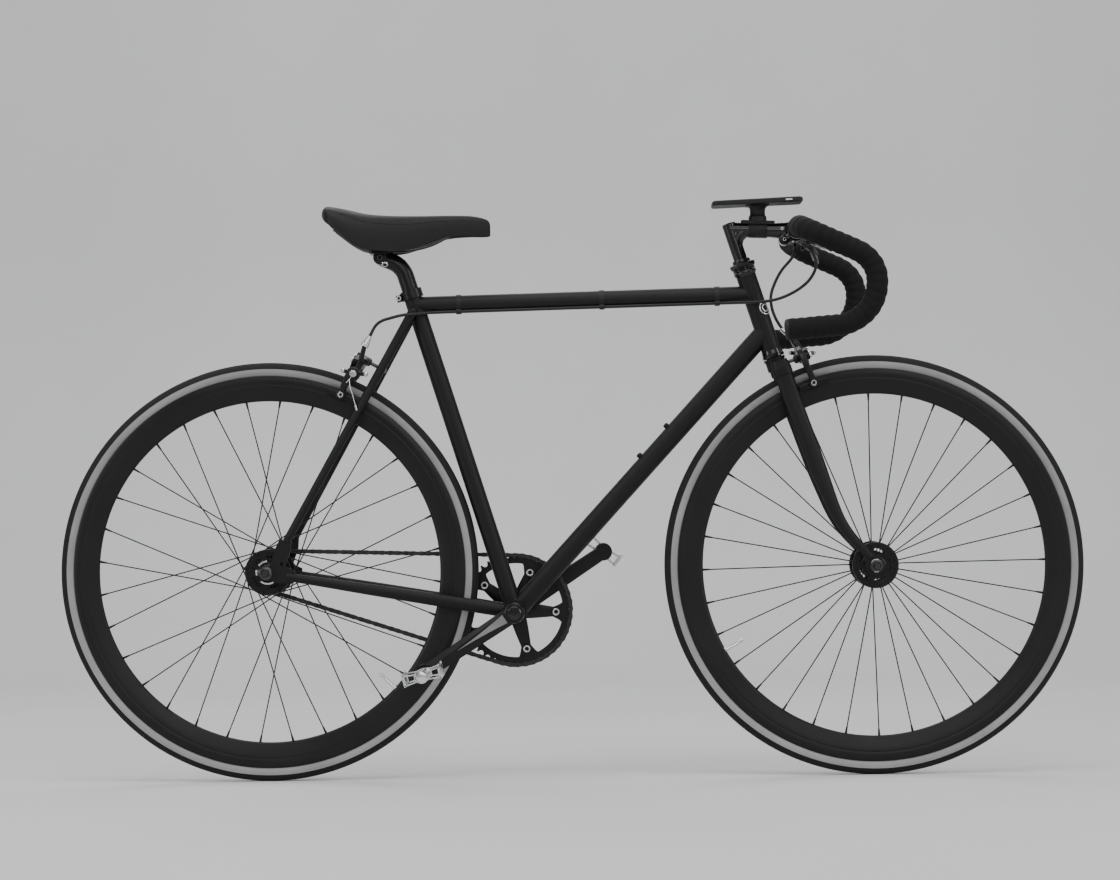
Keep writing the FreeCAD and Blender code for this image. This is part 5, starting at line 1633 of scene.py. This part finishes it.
def make_rail_cradle():
    """Rounded upper and lower jaws that hold the saddle rails."""
    shape = Shape()
    for low, high, half_long in ((851.4, 857.6, 19.0), (843.6, 850.4, 17.0)):
        outline = rounded_rectangle(half_long, 28.0, 5.0)
        shape.slab(outline, ground(184, 0, 0), AHEAD, LEFT, UP, low * MM, high * MM, bevel=0.9 * MM)
    for side in (-1, 1):
        start, end = ground(167, side * 22, 851), ground(203, side * 22, 851)
        shape.rod(start, end, 6.0 * MM, bevel=1.0 * MM, steps=28)
    shape.rod(ground(198, 0, 828), ground(198, 0, 859), 3.5 * MM, slot=1)
    shape.piece("rail_clamp", "frame", [anodised, dark_steel], ["saddle_clamp"])


def rounded_rectangle(half_long, half_wide, corner):
    outline = []
    for sign_long, sign_wide, first in ((1, 1, 0), (-1, 1, 90), (-1, -1, 180), (1, -1, 270)):
        for turn in (0, 30, 60, 90):
            angle = math.radians(first + turn)
            outline.append((
                (sign_long * (half_long - corner) + corner * math.cos(angle)) * MM,
                (sign_wide * (half_wide - corner) + corner * math.sin(angle)) * MM,
            ))
    return outline


# ---------------------------------------------------------------- phone

PHONE_CENTRE = ground(790, 0, 919.5)
PHONE_TILT = 2.2


def make_phone():
    """Phone as a blank slab: glass on top, a plain back, rounded corners and a side button."""
    along, up = heading(PHONE_TILT), heading(PHONE_TILT + 90)
    shape = Shape()
    outline = rounded_rectangle(72.5, 35.0, 9.0)
    shape.slab(outline, PHONE_CENTRE, along, LEFT, up, -4.0 * MM, 3.4 * MM, bevel=1.3 * MM)
    glass = rounded_rectangle(71.2, 33.7, 8.0)
    shape.slab(glass, PHONE_CENTRE, along, LEFT, up, 3.2 * MM, 4.0 * MM, slot=1, bevel=0.4 * MM)
    button = PHONE_CENTRE + along * (50 * MM) - LEFT * (34.6 * MM)
    shape.slab(rounded_rectangle(5.5, 1.1, 1.0), button, along, up, -LEFT, 0, 0.8 * MM, slot=2,
               bevel=0.2 * MM)
    shape.piece("phone_slab", "steering", [plastic, screen_glass, bright_steel],
                ["phone"])


# ---------------------------------------------------------------- small parts on the frame


def make_phone_mount():
    """Band round the stem with a base plate and a flared neck up to the phone."""
    axis = (bar_centre - stem_corner).normalized()
    middle = stem_corner + axis * (44 * MM)
    shape = Shape()
    band = [(11.2, -15), (12.4, -15), (12.8, -14.4), (12.8, 14.4), (12.4, 15), (11.2, 15)]
    shape.lathe(in_mm(*band), middle, axis, 44, closed=True)
    outline = rounded_rectangle(27.0, 12.0, 4.0)
    base = middle + UP * (9 * MM)
    shape.slab(outline, base, axis, LEFT, LEFT.cross(axis) * -1, 0, 6 * MM, bevel=0.8 * MM)
    top = PHONE_CENTRE - UP * (4.2 * MM)
    foot = Vector((middle.x, 0, base.z + 4 * MM))
    tall = top.z - foot.z
    neck = [(14.6, 0), (14.4, 0.3), (12.4, 0.4), (12.0, 0.6), (12.6, 0.78), (15.0, 0.9),
            (18.6, 0.98), (18.8, 1.0)]
    shape.lathe([(r * MM, share * tall) for r, share in neck], foot, UP, 40)
    shape.slab(rounded_rectangle(19.5, 19.5, 9.0), PHONE_CENTRE, heading(PHONE_TILT), LEFT,
               heading(PHONE_TILT + 90), -6.0 * MM, -4.1 * MM, bevel=0.6 * MM)
    shape.piece("phone_holder", "steering", [plastic], ["phone_mount"])


def make_boss_bolts():
    """Button-head bolts in the bottle bosses."""
    shape = Shape()
    head = on_steer(410)
    along = (head - crank_centre).normalized()
    up = Vector((-along.z, 0, along.x))
    for place in (320, 384):
        foot = crank_centre + along * (place * MM) + up * (18.9 * MM)
        shape.lathe(in_mm((4.6, 0), (4.4, 1.2), (3.2, 2.4), (1.7, 2.7), (1.6, 1.0), (0, 1.0)), foot,
                    up, 28)
    shape.piece("boss_bolts", "frame", [anodised])


# ---------------------------------------------------------------- stage, lights and camera


def make_stage():
    """Pale floor that sweeps up behind the bicycle into a plain backdrop."""
    material, nodes, links, shader, place = new_material("studio_paper")
    patches = noise(nodes, links, place, 1.2, 4.0)
    links.new(tint(nodes, links, spread(nodes, links, patches, 0, 1), grey(0.60), grey(0.64)),
              shader.inputs["Base Color"])
    shader.inputs["Roughness"].default_value = 0.85
    near, wall, bend, top = -9.0, 3.4, 1.2, 7.0
    profile = [(near, 0.0), (wall - bend, 0.0)]
    for step in range(1, 17):
        angle = math.radians(90 * step / 16)
        profile.append((wall - bend + bend * math.sin(angle), bend - bend * math.cos(angle)))
    profile.append((wall, top))
    verts, faces = [], []
    for y, z in profile:
        verts += [(-12, y, floor_height + z), (12, y, floor_height + z)]
    for row in range(len(profile) - 1):
        faces.append([row * 2, row * 2 + 1, row * 2 + 3, row * 2 + 2])
    mesh = bpy.data.meshes.new("studio_sweep")
    mesh.from_pydata(verts, [], faces)
    mesh.polygons.foreach_set("use_smooth", [True] * len(mesh.polygons))
    mesh.materials.append(material)
    sweep = bpy.data.objects.new("studio_sweep", mesh)
    bpy.context.scene.collection.objects.link(sweep)


def area_light(name, place, target, size, power, shade=(1, 1, 1)):
    light = bpy.data.lights.new(name, "AREA")
    light.shape = "RECTANGLE"
    light.size, light.size_y = size
    light.energy = power
    light.color = shade
    lamp = bpy.data.objects.new(name, light)
    lamp.location = place
    lamp.rotation_mode = "QUATERNION"
    lamp.rotation_quaternion = (target - place).to_track_quat("-Z", "Y")
    bpy.context.scene.collection.objects.link(lamp)


def make_lights():
    """Soft studio light: a wide overhead box, a front fill and two side strips."""
    middle = ground(480, 0, 450)
    area_light("overhead", middle + Vector((-0.3, -0.8, 2.9)), middle, size=(4.5, 2.6), power=95)
    area_light("front_fill", middle + Vector((0.8, -5.6, 2.3)), middle, size=(4.0, 2.5), power=70)
    area_light("left_strip", middle + Vector((-3.2, -2.0, 1.0)), middle, size=(0.8, 2.6), power=40)
    area_light("right_strip", middle + Vector((3.3, -1.6, 1.2)), middle, size=(0.8, 2.6), power=40)
    area_light("back_glow", middle + Vector((0.0, 2.6, 2.8)), middle, size=(4.0, 1.2), power=45)
    world = bpy.data.worlds.new("studio")
    world.use_nodes = True
    background = world.node_tree.nodes["Background"]
    background.inputs["Color"].default_value = (0.92, 0.94, 0.97, 1)
    background.inputs["Strength"].default_value = 0.42
    bpy.context.scene.world = world


CAMERA_PLACE = ground(530, -5000, 500)
CAMERA_TARGET = ground(469, 0, 542)
CAMERA_ROLL_DEG = 0.72


def make_camera():
    """Long lens level with the wheels, square to the bicycle's right side."""
    data = bpy.data.cameras.new("camera")
    data.lens = 100
    data.sensor_width = 36
    camera = bpy.data.objects.new("camera", data)
    camera.location = CAMERA_PLACE
    camera.rotation_mode = "QUATERNION"
    look = (CAMERA_TARGET - CAMERA_PLACE).to_track_quat("-Z", "Y")
    from_axis = (CAMERA_TARGET - CAMERA_PLACE).normalized()
    camera.rotation_quaternion = Quaternion(from_axis, math.radians(CAMERA_ROLL_DEG)) @ look
    bpy.context.scene.collection.objects.link(camera)
    bpy.context.scene.camera = camera


# ---------------------------------------------------------------- the whole bicycle

FRONT_VALVE_DEG = 209.2
REAR_VALVE_DEG = 316.6

dress_frame_nodes()
make_tyre("front")
make_tyre("rear")
make_rim("front", FRONT_VALVE_DEG)
make_rim("rear", REAR_VALVE_DEG)
make_nipples("front", count=32, spacing=67.0, crossing_deg=0.0, valve_deg=FRONT_VALVE_DEG)
make_nipples("rear", count=32, spacing=66.0, crossing_deg=67.5, valve_deg=REAR_VALVE_DEG)
make_axle_nuts("front_nuts", front_hub, half_width=55 * MM, body="steering")
make_axle_nuts("rear_nuts", rear_hub, half_width=66 * MM, body="frame")
make_hub_details("front", front_hub, half_flange=33.5 * MM, half_end=49 * MM, body="front_wheel")
make_hub_details("rear", rear_hub, half_flange=33 * MM, half_end=59 * MM, body="rear_wheel")
make_chain()
make_chain_wheels()
for hand in (-1, 1):
    make_crank(hand)
    make_pedal(hand)
    make_tape(hand)
    make_brake_lever(hand)
make_headset()
make_stem()
make_bar()
make_bar_plugs()
make_badge()
make_caliper("front_caliper", front_caliper, "steering", "front_brake", eye=(32, 4),
             clamp_at=(4, -4), lift=-8, barrel=FRONT_BARREL, barrel_length=14)
make_caliper("rear_caliper", rear_caliper, "frame", "rear_brake", eye=(-11, 4), clamp_at=(-28, 2),
             lift=-20, barrel=REAR_BARREL, barrel_length=32)
make_pads("front_shoes", front_caliper, "steering", "front_brake_pads")
make_pads("rear_shoes", rear_caliper, "frame", "rear_brake_pads")
make_front_cable()
make_rear_cable()
make_cable_loop()
make_cable_ferrules()
make_saddle()
make_seat_hardware()
make_rail_cradle()
make_phone()
make_phone_mount()
make_boss_bolts()
make_stage()
make_lights()
make_camera()
